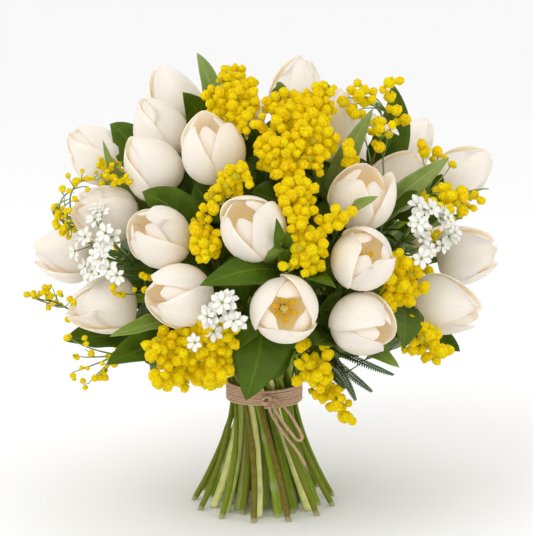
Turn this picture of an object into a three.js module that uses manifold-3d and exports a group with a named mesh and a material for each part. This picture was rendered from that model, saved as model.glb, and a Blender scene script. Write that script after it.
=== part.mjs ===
// A hand-tied bunch of white tulips with mimosa, dark leafy branches, small white star flowers and a
// little fern. Its stems cross in a spiral at the twine and splay below it, so that it stands by
// itself on the cut ends. Millimetres, +X right, +Y away from the viewer, +Z up. The origin is on the
// surface that the bunch stands on, at the cut end of its middle twig.

import * as THREE from "three";
import { ConvexGeometry } from "three/addons/geometries/ConvexGeometry.js";
import { mergeVertices } from "three/addons/utils/BufferGeometryUtils.js";
import Module from "manifold-3d";

const wasm = await Module();
wasm.setup();

// Driving dimensions of the bunch
const TIE = 101; // height of the bunch's waist, where the twine holds it
const SPLAY = 8.8e-5; // how the stems spread with the square of the distance below the twine
const SWIRL = 0.01287; // how the stems turn round the bunch, in radians per millimetre
const HEART = new THREE.Vector3(0, 0, 190); // the flowers and leaves face away from here
const GAP = 0.3; // between pieces that touch
const ROOM = 0.8; // kept free round each bloom

// Driving dimensions of the pieces
const STEM = 3.6; // half the width of a tulip stem at its cut end
const STEM_TOP = 3.2; // the same under its bloom
const TWIG = 1.8; // half the width of a thin stem at the twine
const TWIG_TIP = 1.1; // the same near its end
const WOODY = 5.4; // half the width of the middle mimosa branch
const PETAL = 1.2; // thickness of a petal along its middle
const BLADE = 0.9; // thickness of a leaf
const FOOT = 3.4; // radius of the foot of a bloom
const BALL = 4.2; // radius of a mimosa flower ball
const FLORET = 5.5; // radius of a small white flower
const TWINE = 1.25; // half the thickness of the twine
const WRAPS = 7;
const BAND = 30.3; // inner radius of the twine band
const BAND_MIDDLE = 99.5; // height of its middle
const BAND_SIDES = 13;
const STEM_SIDES = 5;
const BALL_STEP = 9; // from one flower ball to the next along a twig
const BALL_OFF = 3.4; // from the twig's middle to the ball's

// The knot's middle, and the routes of the free tail and the bow loop that come out of it
const KNOT = { x: 2, y: -35, z: 99 };
const TAIL = [[3.8, -36, 94.6], [6, -36.6, 88], [10, -37.6, 80.5], [15.5, -38, 72.5], [21, -38, 64.8],
  [26.5, -37.8, 57.4], [31, -37.2, 50], [34.5, -36, 42.9]];
const LOOP = [[7.8, -34.8, 100.5], [14, -37, 97], [20, -39.5, 90], [26, -41, 81], [30.5, -41.5, 73],
  [32, -41.5, 68.5], [30.4, -41.3, 65.8], [27.4, -41.2, 66.6], [22.5, -41.8, 72.5], [16.5, -42.2, 81],
  [10.5, -41.2, 90], [6.9, -38.8, 96.4]];

const IVORY = new THREE.MeshStandardMaterial({ color: 0xf3efe4, roughness: 0.55, metalness: 0 });
const POLLEN = new THREE.MeshStandardMaterial({ color: 0xe0b84a, roughness: 0.8, metalness: 0 });
const GREEN = new THREE.MeshStandardMaterial({ color: 0x8fa35a, roughness: 0.6, metalness: 0 });
const DARK = new THREE.MeshStandardMaterial({ color: 0x2f4a1c, roughness: 0.5, metalness: 0 });
const YELLOW = new THREE.MeshStandardMaterial({ color: 0xf2c518, roughness: 0.9, metalness: 0 });
const JUTE = new THREE.MeshStandardMaterial({ color: 0xa07a52, roughness: 0.95, metalness: 0 });

const at = (x, y, z) => new THREE.Vector3(x, y, z);
const mix = (a, b, t) => a + (b - a) * t;

/** A number from -1 to 1 that is the same each time for the same two numbers. */
function vary(a, b) {
  const wave = Math.sin(a * 12.9898 + b * 78.233) * 43758.5453;
  return (wave - Math.floor(wave)) * 2 - 1;
}

/** The solid that a closed geometry bounds. */
function solid(geometry) {
  const plain = new THREE.BufferGeometry();
  plain.setAttribute("position", geometry.getAttribute("position"));
  plain.setIndex(geometry.index);
  const merged = mergeVertices(plain, 1e-4);
  const vertProperties = new Float32Array(merged.getAttribute("position").array);
  const triVerts = new Uint32Array(merged.index.array);
  return new wasm.Manifold(new wasm.Mesh({ numProp: 3, vertProperties, triVerts }));
}

/** The solid with these corners and these triangles of corner numbers. */
function facets(corners, triangles) {
  const geometry = new THREE.BufferGeometry().setFromPoints(corners);
  geometry.setIndex(triangles);
  return solid(geometry);
}

const join = (solids) => wasm.Manifold.union(solids);

function boxesMeet(a, b, room) {
  const p = a.boundingBox();
  const q = b.boundingBox();
  return [0, 1, 2].every((k) => p.min[k] < q.max[k] + room && q.min[k] < p.max[k] + room);
}

/** The largest body that is left of a solid when others have taken their room. */
function clearOf(body, others) {
  const near = others.filter((other) => boxesMeet(body, other, 0));
  const left = near.reduce((rest, other) => rest.subtract(other), body);
  return left.decompose().sort((a, b) => b.volume() - a.volume())[0];
}

// Tulip blooms: middle of the head, the way it faces (turn to the right of the viewer, rise above the
// level), length, how open it is (0 closed, 1 a star), and how far it is turned about its own axis.
// flare opens its first petal further. The last eight stand on the far side.
const TULIPS = [
  { head: [-144, 5, 304], turn: -80, rise: 42, length: 52, open: 0.28, spin: 70 },
  { head: [-79, 28, 350], turn: -95, rise: 66, length: 52, open: 0.2, spin: 20 },
  { head: [-88, -24, 327], turn: -74, rise: 62, length: 54, open: 0.15, spin: 50 },
  { head: [-92, -68, 301], turn: -62, rise: 52, length: 54, open: 0.18, spin: 15 },
  { head: [-42, -93, 319], turn: -15, rise: 54, length: 58, open: 0.5, spin: -14, flare: 0.25 },
  { head: [-130, -70, 263], turn: -52, rise: 18, length: 54, open: 0.35, spin: 95 },
  { head: [-84, -122, 254], turn: -32, rise: 30, length: 56, open: 0.4, spin: 40 },
  { head: [-171, 5, 218], turn: -80, rise: 10, length: 54, open: 0.3, spin: -95, flare: 0.3 },
  { head: [-131, -85, 190], turn: -60, rise: -3, length: 56, open: 0.25, spin: 10 },
  { head: [-68, -144, 209], turn: -40, rise: 8, length: 56, open: 0.5, spin: 80 },
  { head: [-11, -148, 265], turn: -20, rise: 32, length: 58, open: 0.45, spin: -10, flare: 0.15 },
  { head: [29, 35, 356], turn: 100, rise: 78, length: 52, open: 0.2, spin: 30 },
  { head: [60, -35, 331], turn: 30, rise: 72, length: 62, open: 0.05, spin: 90 },
  { head: [77, -103, 283], turn: 18, rise: 46, length: 56, open: 0.55, spin: -25, flare: 0.4 },
  { head: [77, -141, 239], turn: 12, rise: 24, length: 54, open: 0.5, spin: 55 },
  { head: [16, -162, 202], turn: 3, rise: 8, length: 50, open: 0.85, spin: 30 },
  { head: [79, -139, 185], turn: 36, rise: -4, length: 54, open: 0.5, spin: 0 },
  { head: [147, -70, 186], turn: 62, rise: -8, length: 58, open: 0.45, spin: 25 },
  { head: [174, 5, 217], turn: 80, rise: 12, length: 54, open: 0.45, spin: -75, flare: 0.35 },
  { head: [125, 38, 308], turn: 95, rise: 46, length: 52, open: 0.25, spin: 15 },
  { head: [113, -27, 286], turn: 66, rise: 48, length: 54, open: 0.25, spin: 60 },
  { head: [170, 14, 285], turn: 85, rise: 36, length: 54, open: 0.3, spin: 35 },
  { head: [-25, 85, 335], turn: -165, rise: 58, length: 54, open: 0.35, spin: 0 },
  { head: [-100, 88, 283], turn: -130, rise: 36, length: 54, open: 0.3, spin: 45 },
  { head: [75, 100, 295], turn: 143, rise: 38, length: 56, open: 0.45, spin: 80 },
  { head: [150, 88, 225], turn: 120, rise: 12, length: 54, open: 0.35, spin: 25 },
  { head: [-60, 150, 235], turn: -158, rise: 16, length: 54, open: 0.5, spin: 60 },
  { head: [40, 150, 240], turn: 165, rise: 18, length: 56, open: 0.4, spin: 10 },
  { head: [-118, 132, 182], turn: -138, rise: -4, length: 54, open: 0.4, spin: 90 },
  { head: [100, 142, 185], turn: 145, rise: -2, length: 54, open: 0.45, spin: 35 },
];

const BELLY = 23; // radius of a bloom at its widest
const INNER = 0.82; // the inner whorl is this much narrower
const FLOOR = 1.6; // the inner whorl stands this far up from the foot

/** The unit vectors of a bloom: its axis, and the two ways across it. */
function axesOf({ turn, rise }) {
  const t = THREE.MathUtils.degToRad(turn);
  const r = THREE.MathUtils.degToRad(rise);
  return {
    axis: at(Math.sin(t) * Math.cos(r), -Math.cos(t) * Math.cos(r), Math.sin(r)),
    right: at(Math.cos(t), Math.sin(t), 0),
    up: at(-Math.sin(r) * Math.sin(t), Math.sin(r) * Math.cos(t), Math.cos(r)),
  };
}

/** Where the foot of a bloom is: half its length back from the middle of its head. */
function footOf(tulip) {
  return at(...tulip.head).addScaledVector(axesOf(tulip).axis, -tulip.length / 2);
}

/**
 * A point of a petal: along runs from 0 at the foot to 1 at the tip, across from -1 to 1, and depth
 * from 0 on the outer face to 1 on the inner one. The petal's middle line is a cubic curve in the
 * plane of the axis, swung round the axis to both sides by an angle that shrinks towards the tip.
 */
function petalPoint(tulip, number, whorl, petal, along, across, depth) {
  const lean = 0.08 * vary(number + 1, whorl * 3 + petal) + (whorl + petal === 0 ? (tulip.flare ?? 0) : 0);
  const open = tulip.open * (whorl ? 0.75 : 1) + lean;
  const long = tulip.length * (1 + 0.04 * vary(petal + 5, number));
  const reach = long * (1 - 0.12 * open) * (whorl ? 0.95 : 1);
  const belly = BELLY * (whorl ? INNER : 1);
  const line = new THREE.CubicBezierCurve(
    new THREE.Vector2(FOOT, whorl * FLOOR),
    new THREE.Vector2(1.45 * belly, 0),
    new THREE.Vector2((1.05 + 0.45 * open) * belly, 0.62 * reach),
    new THREE.Vector2((0.3 + 1.05 * open) * belly, reach),
  );
  const middle = line.getPoint(along);
  const heading = line.getTangent(along);
  const inward = depth * PETAL * (1 - along ** 8);
  const radius = middle.x - heading.y * inward;
  const height = middle.y + heading.x * inward;
  const half = (Math.PI / 3) * (1 - along * along) ** 0.6;
  const angle = THREE.MathUtils.degToRad(tulip.spin + 60 * whorl + 120 * petal) + across * half;
  const { axis, right, up } = axesOf(tulip);
  return footOf(tulip)
    .addScaledVector(axis, height)
    .addScaledVector(right, radius * Math.cos(angle))
    .addScaledVector(up, radius * Math.sin(angle));
}

/**
 * A bloom as one closed skin: up the outside of the outer petals, down their inside, across the
 * floor to the inner petals and the same again. A petal thins out to its edges, and neighbours in a
 * whorl share their corners at the foot.
 */
function bloom(tulip, number) {
  const rows = [[0.36, 0.72], [0.62]];
  const corners = [];
  const triangles = [];
  const corner = (...where) => corners.push(petalPoint(tulip, number, ...where)) - 1;
  const quad = (a, b, c, d) => triangles.push(a, b, c, a, c, d);
  const rings = [0, 1].map((whorl) =>
    [0, 1].map((depth) =>
      [0, 1, 2].flatMap((petal) => [corner(whorl, petal, 0, 0, depth), corner(whorl, petal, 0, 1, depth)]),
    ),
  );
  for (const whorl of [0, 1]) {
    for (const petal of [0, 1, 2]) {
      const foot = ([...ring]) => [ring[(petal * 2 + 5) % 6], ring[petal * 2], ring[petal * 2 + 1]];
      let [low, lowIn] = rings[whorl].map(foot);
      triangles.push(lowIn[0], low[0], corners.length, low[2], lowIn[2], corners.length + 2);
      for (const along of rows[whorl]) {
        const row = [-1, 0, 1].map((s) => corner(whorl, petal, along, s, 0));
        const rowIn = [row[0], corner(whorl, petal, along, 0, 1), row[2]];
        for (const s of [0, 1]) {
          quad(low[s], low[s + 1], row[s + 1], row[s]);
          quad(lowIn[s + 1], lowIn[s], rowIn[s], rowIn[s + 1]);
        }
        [low, lowIn] = [row, rowIn];
      }
      const rim = corner(whorl, petal, 1, 0, 0);
      for (const s of [0, 1]) {
        triangles.push(low[s], low[s + 1], rim, lowIn[s + 1], lowIn[s], rim);
      }
    }
  }
  const [[outerFoot, outerFloor], [innerFoot, innerFloor]] = rings;
  for (const k of [1, 2, 3, 4]) {
    triangles.push(outerFoot[0], outerFoot[k + 1], outerFoot[k]);
    triangles.push(innerFloor[0], innerFloor[k], innerFloor[k + 1]);
  }
  for (let k = 0; k < 6; k += 1) {
    const next = (k + 1) % 6;
    quad(outerFloor[k], outerFloor[next], innerFoot[(next + 5) % 6], innerFoot[(k + 5) % 6]);
  }
  return { body: facets(corners, triangles), corners };
}

/** The room of a bloom: the hull of its corners, each pushed out from its middle. */
function roomOf(tulip, corners) {
  const middle = at(...tulip.head);
  const pushed = corners.map((p) => {
    const out = p.clone().sub(middle);
    return p.clone().addScaledVector(out.normalize(), ROOM);
  });
  return solid(new ConvexGeometry(pushed));
}

// How the stems run. Where they cross the level of the twine, each stem has a seat.

/** The seats of the tulip stems: six bundles of five, pressed together inside and clear of each other. */
const SEATS = [0, 1, 2, 3, 4, 5].flatMap((bundle) => {
  const turn = (x, y) => {
    const angle = (bundle * Math.PI) / 3;
    const [cos, sin] = [Math.cos(angle), Math.sin(angle)];
    return { bundle, x: x * cos - y * sin, y: x * sin + y * cos };
  };
  return [turn(9.6, 0), turn(14.3, 3.75), turn(14.3, -3.75), turn(20.2, 3.75), turn(20.2, -3.75)];
});

/** Evenly spaced seats on a circle. */
function circle(count, radius, start) {
  return Array.from({ length: count }, (_, k) => {
    const angle = start + (k * 2 * Math.PI) / count;
    return { x: radius * Math.cos(angle), y: radius * Math.sin(angle) };
  });
}

/**
 * Deals seats to ends: both are put in order round the bunch, and the deal that turns the stems
 * least from the bunch's spiral is taken. The ends stand some way round from their seats.
 */
function deal(ends, seats) {
  const whole = 2 * Math.PI;
  const lead = 0.7;
  const round = (p, extra) => (Math.atan2(p.y, p.x) + extra + 2 * whole) % whole;
  const byEnd = ends.map((end, k) => ({ k, angle: round(end, lead) })).sort((a, b) => a.angle - b.angle);
  const bySeat = seats.map((seat) => ({ seat, angle: round(seat, 0) })).sort((a, b) => a.angle - b.angle);
  const cost = (shift) =>
    byEnd.reduce((sum, { angle }, k) => {
      const turn = Math.abs(angle - bySeat[(k + shift) % ends.length].angle);
      return sum + Math.min(turn, whole - turn) ** 2;
    }, 0);
  const shifts = ends.map((_, shift) => shift).sort((a, b) => cost(a) - cost(b));
  const dealt = [];
  byEnd.forEach(({ k }, place) => {
    dealt[k] = bySeat[(place + shifts[0]) % ends.length].seat;
  });
  return dealt;
}

/** Where a stem with this seat is at a height at or below the twine: turned and spread with depth. */
function below(seat, height) {
  const h = TIE - height;
  const spread = 1 + SPLAY * h * h;
  const swirl = SWIRL * h;
  return at(seat.x * spread - seat.y * swirl, seat.y * spread + seat.x * swirl, height);
}

const BELOW = 12; // steps of a stem's line under the twine
const ABOVE = 34; // and over it

/** A stem's middle line, from its cut end through its seat to where it ends, arriving in a direction. */
function strand(seat, end, arriving, swing) {
  const line = Array.from({ length: BELOW }, (_, k) => below(seat, (TIE * k) / BELOW));
  const rise = at(seat.y * SWIRL, -seat.x * SWIRL, 1).normalize();
  const through = at(seat.x, seat.y, TIE);
  const curve = new THREE.CubicBezierCurve3(
    through,
    through.clone().addScaledVector(rise, 45),
    end.clone().addScaledVector(arriving, -swing),
    end,
  );
  return [...line, ...curve.getPoints(ABOVE)];
}

/** A side twig's or leaf's middle line: an arc from one point by way of a second to a third. */
function arc(from, by, to, steps) {
  const pull = by.clone().multiplyScalar(2).addScaledVector(from, -0.5).addScaledVector(to, -0.5);
  return new THREE.QuadraticBezierCurve3(from, pull, to).getPoints(steps);
}

/**
 * Bends lines clear of each other, of lines that stay and of the blooms. Each round adds up the
 * pushes on every point, moves it, and evens the shift out along its line. Ends and seats stay.
 */
function settle(lines, fixed, rounds) {
  const points = lines.flatMap((line) =>
    line.points.map((p, k) => ({ line, home: p.clone(), now: p, pinned: line.pinned(p, k) })),
  );
  const still = fixed.flatMap((line) => line.points.map((p) => ({ line, now: p })));
  for (let round = 0; round < rounds; round += 1) {
    const pushes = points.map(() => at(0, 0, 0));
    points.forEach((point, i) => {
      const from = (other, need, share) => {
        const dx = point.now.x - other.x;
        const dy = point.now.y - other.y;
        const dz = point.now.z - other.z;
        const apart = dx * dx + dy * dy + dz * dz;
        if (apart >= need * need || apart === 0) return;
        const far = Math.sqrt(apart);
        const push = ((need - far) / far) * share;
        pushes[i].x += dx * push;
        pushes[i].y += dy * push;
        pushes[i].z += dz * push;
      };
      if (point.pinned) return;
      for (const other of points) {
        if (other.line.node === point.line.node) continue;
        from(other.now, point.line.width + other.line.width + 0.7, other.pinned ? 1 : 0.5);
      }
      for (const other of still) {
        if (other.line.node === point.line.node) continue;
        from(other.now, point.line.width + other.line.width + 0.7, 1);
      }
      for (const bulk of BULKS) {
        if (bulk.tulip !== point.line.tulip) from(bulk.middle, bulk.radius + point.line.width, 1);
      }
    });
    points.forEach((point, i) => {
      if (!point.pinned) point.now.addScaledVector(pushes[i], 0.6);
    });
    const shifts = points.map((point) => point.now.clone().sub(point.home));
    points.forEach((point, i) => {
      if (point.pinned || points[i - 1]?.line !== point.line || points[i + 1]?.line !== point.line) return;
      const even = shifts[i - 1].clone().add(shifts[i + 1]).multiplyScalar(0.5);
      point.now.copy(point.home).add(shifts[i].clone().lerp(even, 0.3));
    });
  }
}

/** Two balls that fill a bloom, for keeping lines out of it. */
const BULKS = TULIPS.flatMap((tulip) => {
  const { axis } = axesOf(tulip);
  const ball = (along, radius) => ({
    tulip,
    middle: footOf(tulip).addScaledVector(axis, tulip.length * along),
    radius,
  });
  return [ball(0.4, BELLY + 1), ball(0.75, BELLY * (0.75 + 0.45 * tulip.open) + 1)];
});

/**
 * A rod through rings, each with its middle, the way the rod runs there and a radius. A staggered
 * ring is turned by half a side from the one before it, which makes a rounder ball of a swelling.
 */
function rod(rings, sides) {
  const corners = [];
  const triangles = [];
  let across = at(1, 0, 0);
  let turned = 0;
  rings.forEach(({ p, heading, radius, staggered }) => {
    across = across.clone().projectOnPlane(heading).normalize();
    const other = heading.clone().cross(across);
    turned -= staggered ? 0.5 : 0;
    for (let n = 0; n < sides; n += 1) {
      const angle = ((n + turned) * 2 * Math.PI) / sides;
      const q = p
        .clone()
        .addScaledVector(across, radius * Math.cos(angle))
        .addScaledVector(other, radius * Math.sin(angle));
      if (p.z === 0) q.addScaledVector(heading, -q.z / heading.z);
      corners.push(q);
    }
  });
  const last = (rings.length - 1) * sides;
  for (let n = 0; n < sides; n += 1) {
    const next = (n + 1) % sides;
    for (let low = 0; low < last; low += sides) {
      triangles.push(low + n, low + next, low + sides + next, low + n, low + sides + next, low + sides + n);
    }
    if (n > 0 && n < sides - 1) {
      triangles.push(0, n + 1, n, last, last + n, last + n + 1);
    }
  }
  return facets(corners, triangles);
}

/** The point of a line at a share of its length in steps, with the way it runs there. */
function onLine(line, along) {
  const k = along * (line.length - 1);
  const i = Math.min(Math.floor(k), line.length - 2);
  const p = line[i].clone().lerp(line[i + 1], k - i);
  return { p, heading: line[i + 1].clone().sub(line[i]).normalize() };
}

/** Rings at these shares of a line, as wide as at its start up to a share of it, then tapering. */
function ringsAt(line, shares, wide, narrow, even = 0) {
  const tapered = (share) => Math.max(0, (share - even) / (1 - even));
  return shares.map((share) => ({ ...onLine(line, share), radius: mix(wide, narrow, tapered(share)) }));
}

const STALK = 0.36; // the share of a leaf's line that is its stalk

/** Where the upper face of a leaf looks: away from the heart, or upwards if the leaf points that way. */
function faceOf(line) {
  const { p, heading } = onLine(line, 0.68);
  const out = p.clone().sub(HEART).normalize();
  const back = p.y < 60 ? -1 : 1;
  const lift = heading.z > 0.6 ? at(0, back, 0.2) : at(0, 0.6 * back, 0.8);
  return out.clone().lerp(lift, heading.dot(out) ** 2).normalize();
}

/**
 * A leaf: a narrow stalk that widens to a blade, widest at the given share of the blade's length,
 * folded up a little along the middle, with its upper face turned away from the heart of the bunch.
 */
function leafSolid(line, { half, widest = 0.45, roll = 0 }, extra = 0) {
  const face = faceOf(line);
  const rows = [0, STALK, 0.54, 0.77].map((along) => {
    const { p, heading } = onLine(line, along);
    const side = heading.clone().cross(face).normalize().applyAxisAngle(heading, roll);
    const up = side.clone().cross(heading).normalize();
    const share = Math.max(0, (along - STALK) / (1 - STALK));
    const bend = share ** (Math.log(0.5) / Math.log(widest));
    const width = half * Math.sin(Math.PI * bend) ** 0.8 + 1.1 + extra;
    const row = (lift) =>
      [-1, 0, 1].map((s) => {
        const rise = lift + 0.16 * Math.abs(s) * width;
        return p.clone().addScaledVector(side, s * width).addScaledVector(up, rise);
      });
    return [row(BLADE / 2 + extra), row(-BLADE / 2 - extra)];
  });
  const corners = [...rows.flat(2), line.at(-1).clone()];
  const tip = corners.length - 1;
  const triangles = [];
  const quad = (a, b, c, d) => triangles.push(a, b, c, a, c, d);
  rows.forEach((_, k) => {
    const top = k * 6;
    const under = top + 3;
    if (k === rows.length - 1) {
      for (const s of [0, 1]) {
        triangles.push(top + s, top + s + 1, tip, under + s + 1, under + s, tip);
      }
      triangles.push(under, top, tip, top + 2, under + 2, tip);
      return;
    }
    for (const s of [0, 1]) {
      quad(top + s, top + s + 1, top + s + 7, top + s + 6);
      quad(under + s + 1, under + s, under + s + 6, under + s + 7);
    }
    quad(under, top, top + 6, under + 6);
    quad(top + 2, under + 2, under + 8, top + 8);
  });
  quad(1, 0, 3, 4);
  quad(2, 1, 4, 5);
  return facets(corners, triangles);
}

// Narrow leaves of the tulips: the tulip whose stem one grows on and how far up, where it comes out
// of the bunch, its tip, and half its width. The last ones are on the far side.
const TULIP_LEAVES = [
  { on: 20, up: 0.55, by: [96, -58, 262], tip: [148, -67, 307], half: 9, roll: 0.2 },
  { on: 12, up: 0.6, by: [55, -62, 286], tip: [86, -77, 347], half: 8, roll: 0.3 },
  { on: 10, up: 0.6, by: [4, -128, 232], tip: [-1, -168, 273], half: 7.5, roll: 0 },
  { on: 15, up: 0.6, by: [12, -130, 226], tip: [-48, -169, 222], half: 10, roll: 0 },
  { on: 14, up: 0.6, by: [32, -128, 222], tip: [54, -166, 220], half: 8, roll: -0.3 },
  { on: 16, up: 0.55, by: [68, -96, 168], tip: [103, -160, 157], half: 7.5, roll: 0.2 },
  { on: 8, up: 0.6, by: [-76, -104, 182], tip: [-118, -146, 178], half: 8, roll: 0 },
  { on: 1, up: 0.7, by: [-42, 4, 338], tip: [-56, 4, 387], half: 8, roll: 0.4 },
  { on: 13, up: 0.65, by: [60, -116, 262], tip: [85, -134, 287], half: 8, roll: 0 },
  { on: 22, up: 0.6, by: [-62, 70, 295], tip: [-78, 108, 338], half: 9, roll: 0 },
  { on: 25, up: 0.6, by: [104, 88, 210], tip: [120, 132, 232], half: 9, roll: 0 },
  { on: 27, up: 0.55, by: [-8, 118, 190], tip: [-14, 172, 192], half: 9, roll: 0 },
  { on: 28, up: 0.55, by: [-70, 96, 160], tip: [-78, 146, 142], half: 9, roll: 0 },
];

// Branches with broad dark leaves and narrow ones: the end of the main stem, and for each leaf where
// it comes out, its tip, and half its width.
const LEAFY = [
  {
    end: [-74, -6, 272],
    leaves: [
      { by: [-104, -2, 296], tip: [-129, 0, 328], half: 13, roll: 0.3 },
      { by: [-98, -46, 262], tip: [-127, -76, 322], half: 5.5, roll: 0 },
      { by: [-136, -30, 246], tip: [-151, -98, 278], half: 4.5, roll: 0 },
      { by: [-104, 40, 262], tip: [-146, 62, 282], half: 12, roll: 0 },
      { by: [-44, -4, 304], tip: [-66, -38, 357], half: 13, roll: 0 },
    ],
  },
  {
    end: [-34, -74, 168],
    leaves: [
      { by: [-72, -100, 166], tip: [-121, -146, 156], half: 13, roll: 0 },
      { by: [-4, -116, 178], tip: [-14, -140, 126], half: 23, roll: 0, widest: 0.42 },
      { by: [-8, -122, 190], tip: [-22, -148, 168], half: 9, roll: 0 },
      { by: [-56, -92, 240], tip: [-95, -102, 284], half: 15, roll: 0 },
      { by: [-112, -60, 160], tip: [-160, -82, 160], half: 11, roll: 0 },
    ],
  },
  {
    end: [62, -20, 262],
    leaves: [
      { by: [100, -4, 296], tip: [105, -36, 363], half: 13, roll: 0 },
      { by: [52, -84, 250], tip: [34, -124, 276], half: 12, roll: 0 },
      { by: [128, -30, 244], tip: [156, -74, 262], half: 11, roll: 0 },
      { by: [110, 60, 262], tip: [150, 76, 270], half: 12, roll: 0 },
    ],
  },
  {
    end: [66, -64, 172],
    leaves: [
      { by: [106, -84, 190], tip: [104, -142, 170], half: 13, roll: 0 },
      { by: [52, -110, 172], tip: [40, -156, 174], half: 10, roll: 0 },
      { by: [118, -44, 160], tip: [160, -66, 148], half: 11, roll: 0 },
      { by: [140, -20, 250], tip: [180, -64, 282], half: 4.5, roll: 0 },
    ],
  },
  {
    end: [-4, 84, 200],
    leaves: [
      { by: [30, 112, 200], tip: [42, 160, 190], half: 13, roll: 0 },
      { by: [-2, 110, 268], tip: [-6, 142, 304], half: 13, roll: 0 },
      { by: [-46, 112, 182], tip: [-56, 158, 158], half: 13, roll: 0 },
      { by: [84, 96, 208], tip: [102, 134, 240], half: 12, roll: 0 },
      { by: [-104, 84, 212], tip: [-140, 118, 236], half: 12, roll: 0 },
    ],
  },
];

// Mimosa: the end of each main twig and the tips of its side twigs. Flower balls sit along the outer
// part of each side twig, from the given share of its length.
const MIMOSA = [
  { end: [-16, -24, 312], tips: [[-20, -82, 354], [-22, -52, 374], [-40, -64, 358]] },
  { end: [22, -28, 298], tips: [[30, -82, 348], [46, -80, 360], [50, -102, 328], [6, -112, 318]] },
  { end: [22, -80, 262], tips: [[22, -138, 290], [33, -160, 246]] },
  { end: [-30, -84, 262], tips: [[-18, -136, 304], [-46, -148, 244]] },
  { end: [-104, -26, 254], tips: [[-154, -102, 266], [-134, -30, 300], [-158, -44, 250]], from: 0.66 },
  { end: [-44, -84, 158], tips: [[-80, -150, 146], [-40, -134, 176], [-84, -150, 168], [-36, -146, 150]] },
  { end: [34, -76, 150], tips: [[58, -136, 124], [44, -148, 144], [68, -112, 104], [110, -110, 222]] },
  { end: [88, -28, 296], tips: [[102, -60, 366], [92, -84, 334], [64, -106, 318], [160, -78, 278]] },
  { end: [-92, -66, 180], tips: [[-178, -100, 198], [-128, -130, 142], [-94, -116, 221]], from: 0.66 },
  { end: [-6, 76, 252], tips: [[-10, 128, 286], [24, 112, 312], [-52, 112, 290]] },
  { end: [24, 82, 168], tips: [[-16, 150, 214], [70, 142, 214], [56, 138, 158]] },
];

// Sprays of small white flowers: the end of the main stem and the middle of each flower.
const STARS = [
  {
    end: [-112, -64, 226],
    flowers: [[-118, -114, 250], [-132, -104, 262], [-130, -110, 234], [-144, -92, 246], [-120, -122, 226],
      [-138, -100, 218]],
  },
  {
    end: [112, -62, 240],
    flowers: [[122, -112, 257], [120, -104, 273], [138, -100, 262], [128, -114, 240], [146, -90, 246],
      [92, -64, 330]],
  },
  {
    end: [-12, -100, 176],
    flowers: [[-26, -168, 212], [-40, -162, 200], [-26, -168, 196], [-38, -156, 184], [-52, -158, 176]],
  },
];

// The fern: the end of its stem and the tips of its fronds.
const FERN = { end: [42, -72, 158], tips: [[98, -164, 152], [82, -160, 138], [62, -150, 138]] };

const onBody = (numbers) => at(...numbers);

// Each tulip's seat: the steepest heads come from the inner ring, the lowest from the outer one.
const steepest = TULIPS.map((tulip, number) => ({ tulip, number })).sort((a, b) => {
  const slope = ({ tulip }) => (tulip.head[2] - HEART.z) / Math.hypot(tulip.head[0], tulip.head[1]);
  return slope(b) - slope(a);
});
const rings = [SEATS.filter((_, k) => k % 5 === 0), SEATS.filter((_, k) => [1, 2].includes(k % 5)),
  SEATS.filter((_, k) => k % 5 > 2)];
const seatOf = [];
let taken = 0;
for (const ring of rings) {
  const group = steepest.slice(taken, taken + ring.length);
  const ends = group.map(({ tulip }) => footOf(tulip));
  deal(ends, ring).forEach((seat, k) => {
    seatOf[group[k].number] = seat;
  });
  taken += ring.length;
}

/** Only the ends of a line and its stretch through the twine are held. */
function heldAtTwine(count) {
  return (p, k) => k === 0 || k === count - 1 || (p.z > TIE - 22 && p.z < TIE + 10);
}
const heldAtEnds = (count) => (_, k) => k === 0 || k === count - 1;

const tulipLines = TULIPS.map((tulip, number) => {
  const { axis } = axesOf(tulip);
  const top = footOf(tulip).addScaledVector(axis, -1.5 * GAP);
  const points = strand(seatOf[number], top, axis, 38);
  const node = `bundle ${seatOf[number].bundle}`;
  return { node, tulip, width: STEM, points, pinned: heldAtTwine(points.length) };
});

// The thin stems sit round the tulips' stems, and six of them in the gaps between the bundles.
const sprays = [
  ...MIMOSA.map((spray, k) => ({ kind: "mimosa", k, spray, end: onBody(spray.end) })),
  ...LEAFY.map((spray, k) => ({ kind: "leafy", k, spray, end: onBody(spray.end) })),
  ...STARS.map((spray, k) => ({ kind: "stars", k, spray, end: onBody(spray.end) })),
  { kind: "fern", k: 0, spray: FERN, end: onBody(FERN.end) },
];
const MIDDLE = 1; // the woody mimosa branch in the middle of the bunch
const BETWEEN = [0, 2, 7, 9, 11, 13]; // the ones that come up between the bundles
const between = BETWEEN.map((n) => sprays[n]);
const rimmed = sprays.filter((_, n) => n !== MIDDLE && !BETWEEN.includes(n));
sprays[MIDDLE].seat = { x: 0, y: 0 };
deal(between.map(({ end }) => end), circle(6, 18.6, Math.PI / 6)).forEach((seat, k) => {
  between[k].seat = seat;
});
deal(rimmed.map(({ end }) => end), circle(rimmed.length, 26.7, 0.1)).forEach((seat, k) => {
  rimmed[k].seat = seat;
});
const sprayLines = sprays.map(({ kind, k, end, seat }) => {
  const out = end.clone().sub(HEART).normalize().add(at(0, 0, 0.8)).normalize();
  const points = strand(seat, end, out, 30);
  const width = seat.x === 0 && seat.y === 0 ? WOODY : TWIG;
  return { node: `${kind} ${k}`, width, points, pinned: heldAtTwine(points.length) };
});

settle([...tulipLines, ...sprayLines], [], 60);

// Side lines start on the settled stems: leaves of the tulips, then each spray's own.
const SIDE = 20; // steps of a side line
const outward = (from, to) => {
  const middle = from.clone().lerp(to, 0.5);
  return middle.addScaledVector(middle.clone().sub(HEART).normalize(), 0.06 * from.distanceTo(to));
};

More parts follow.
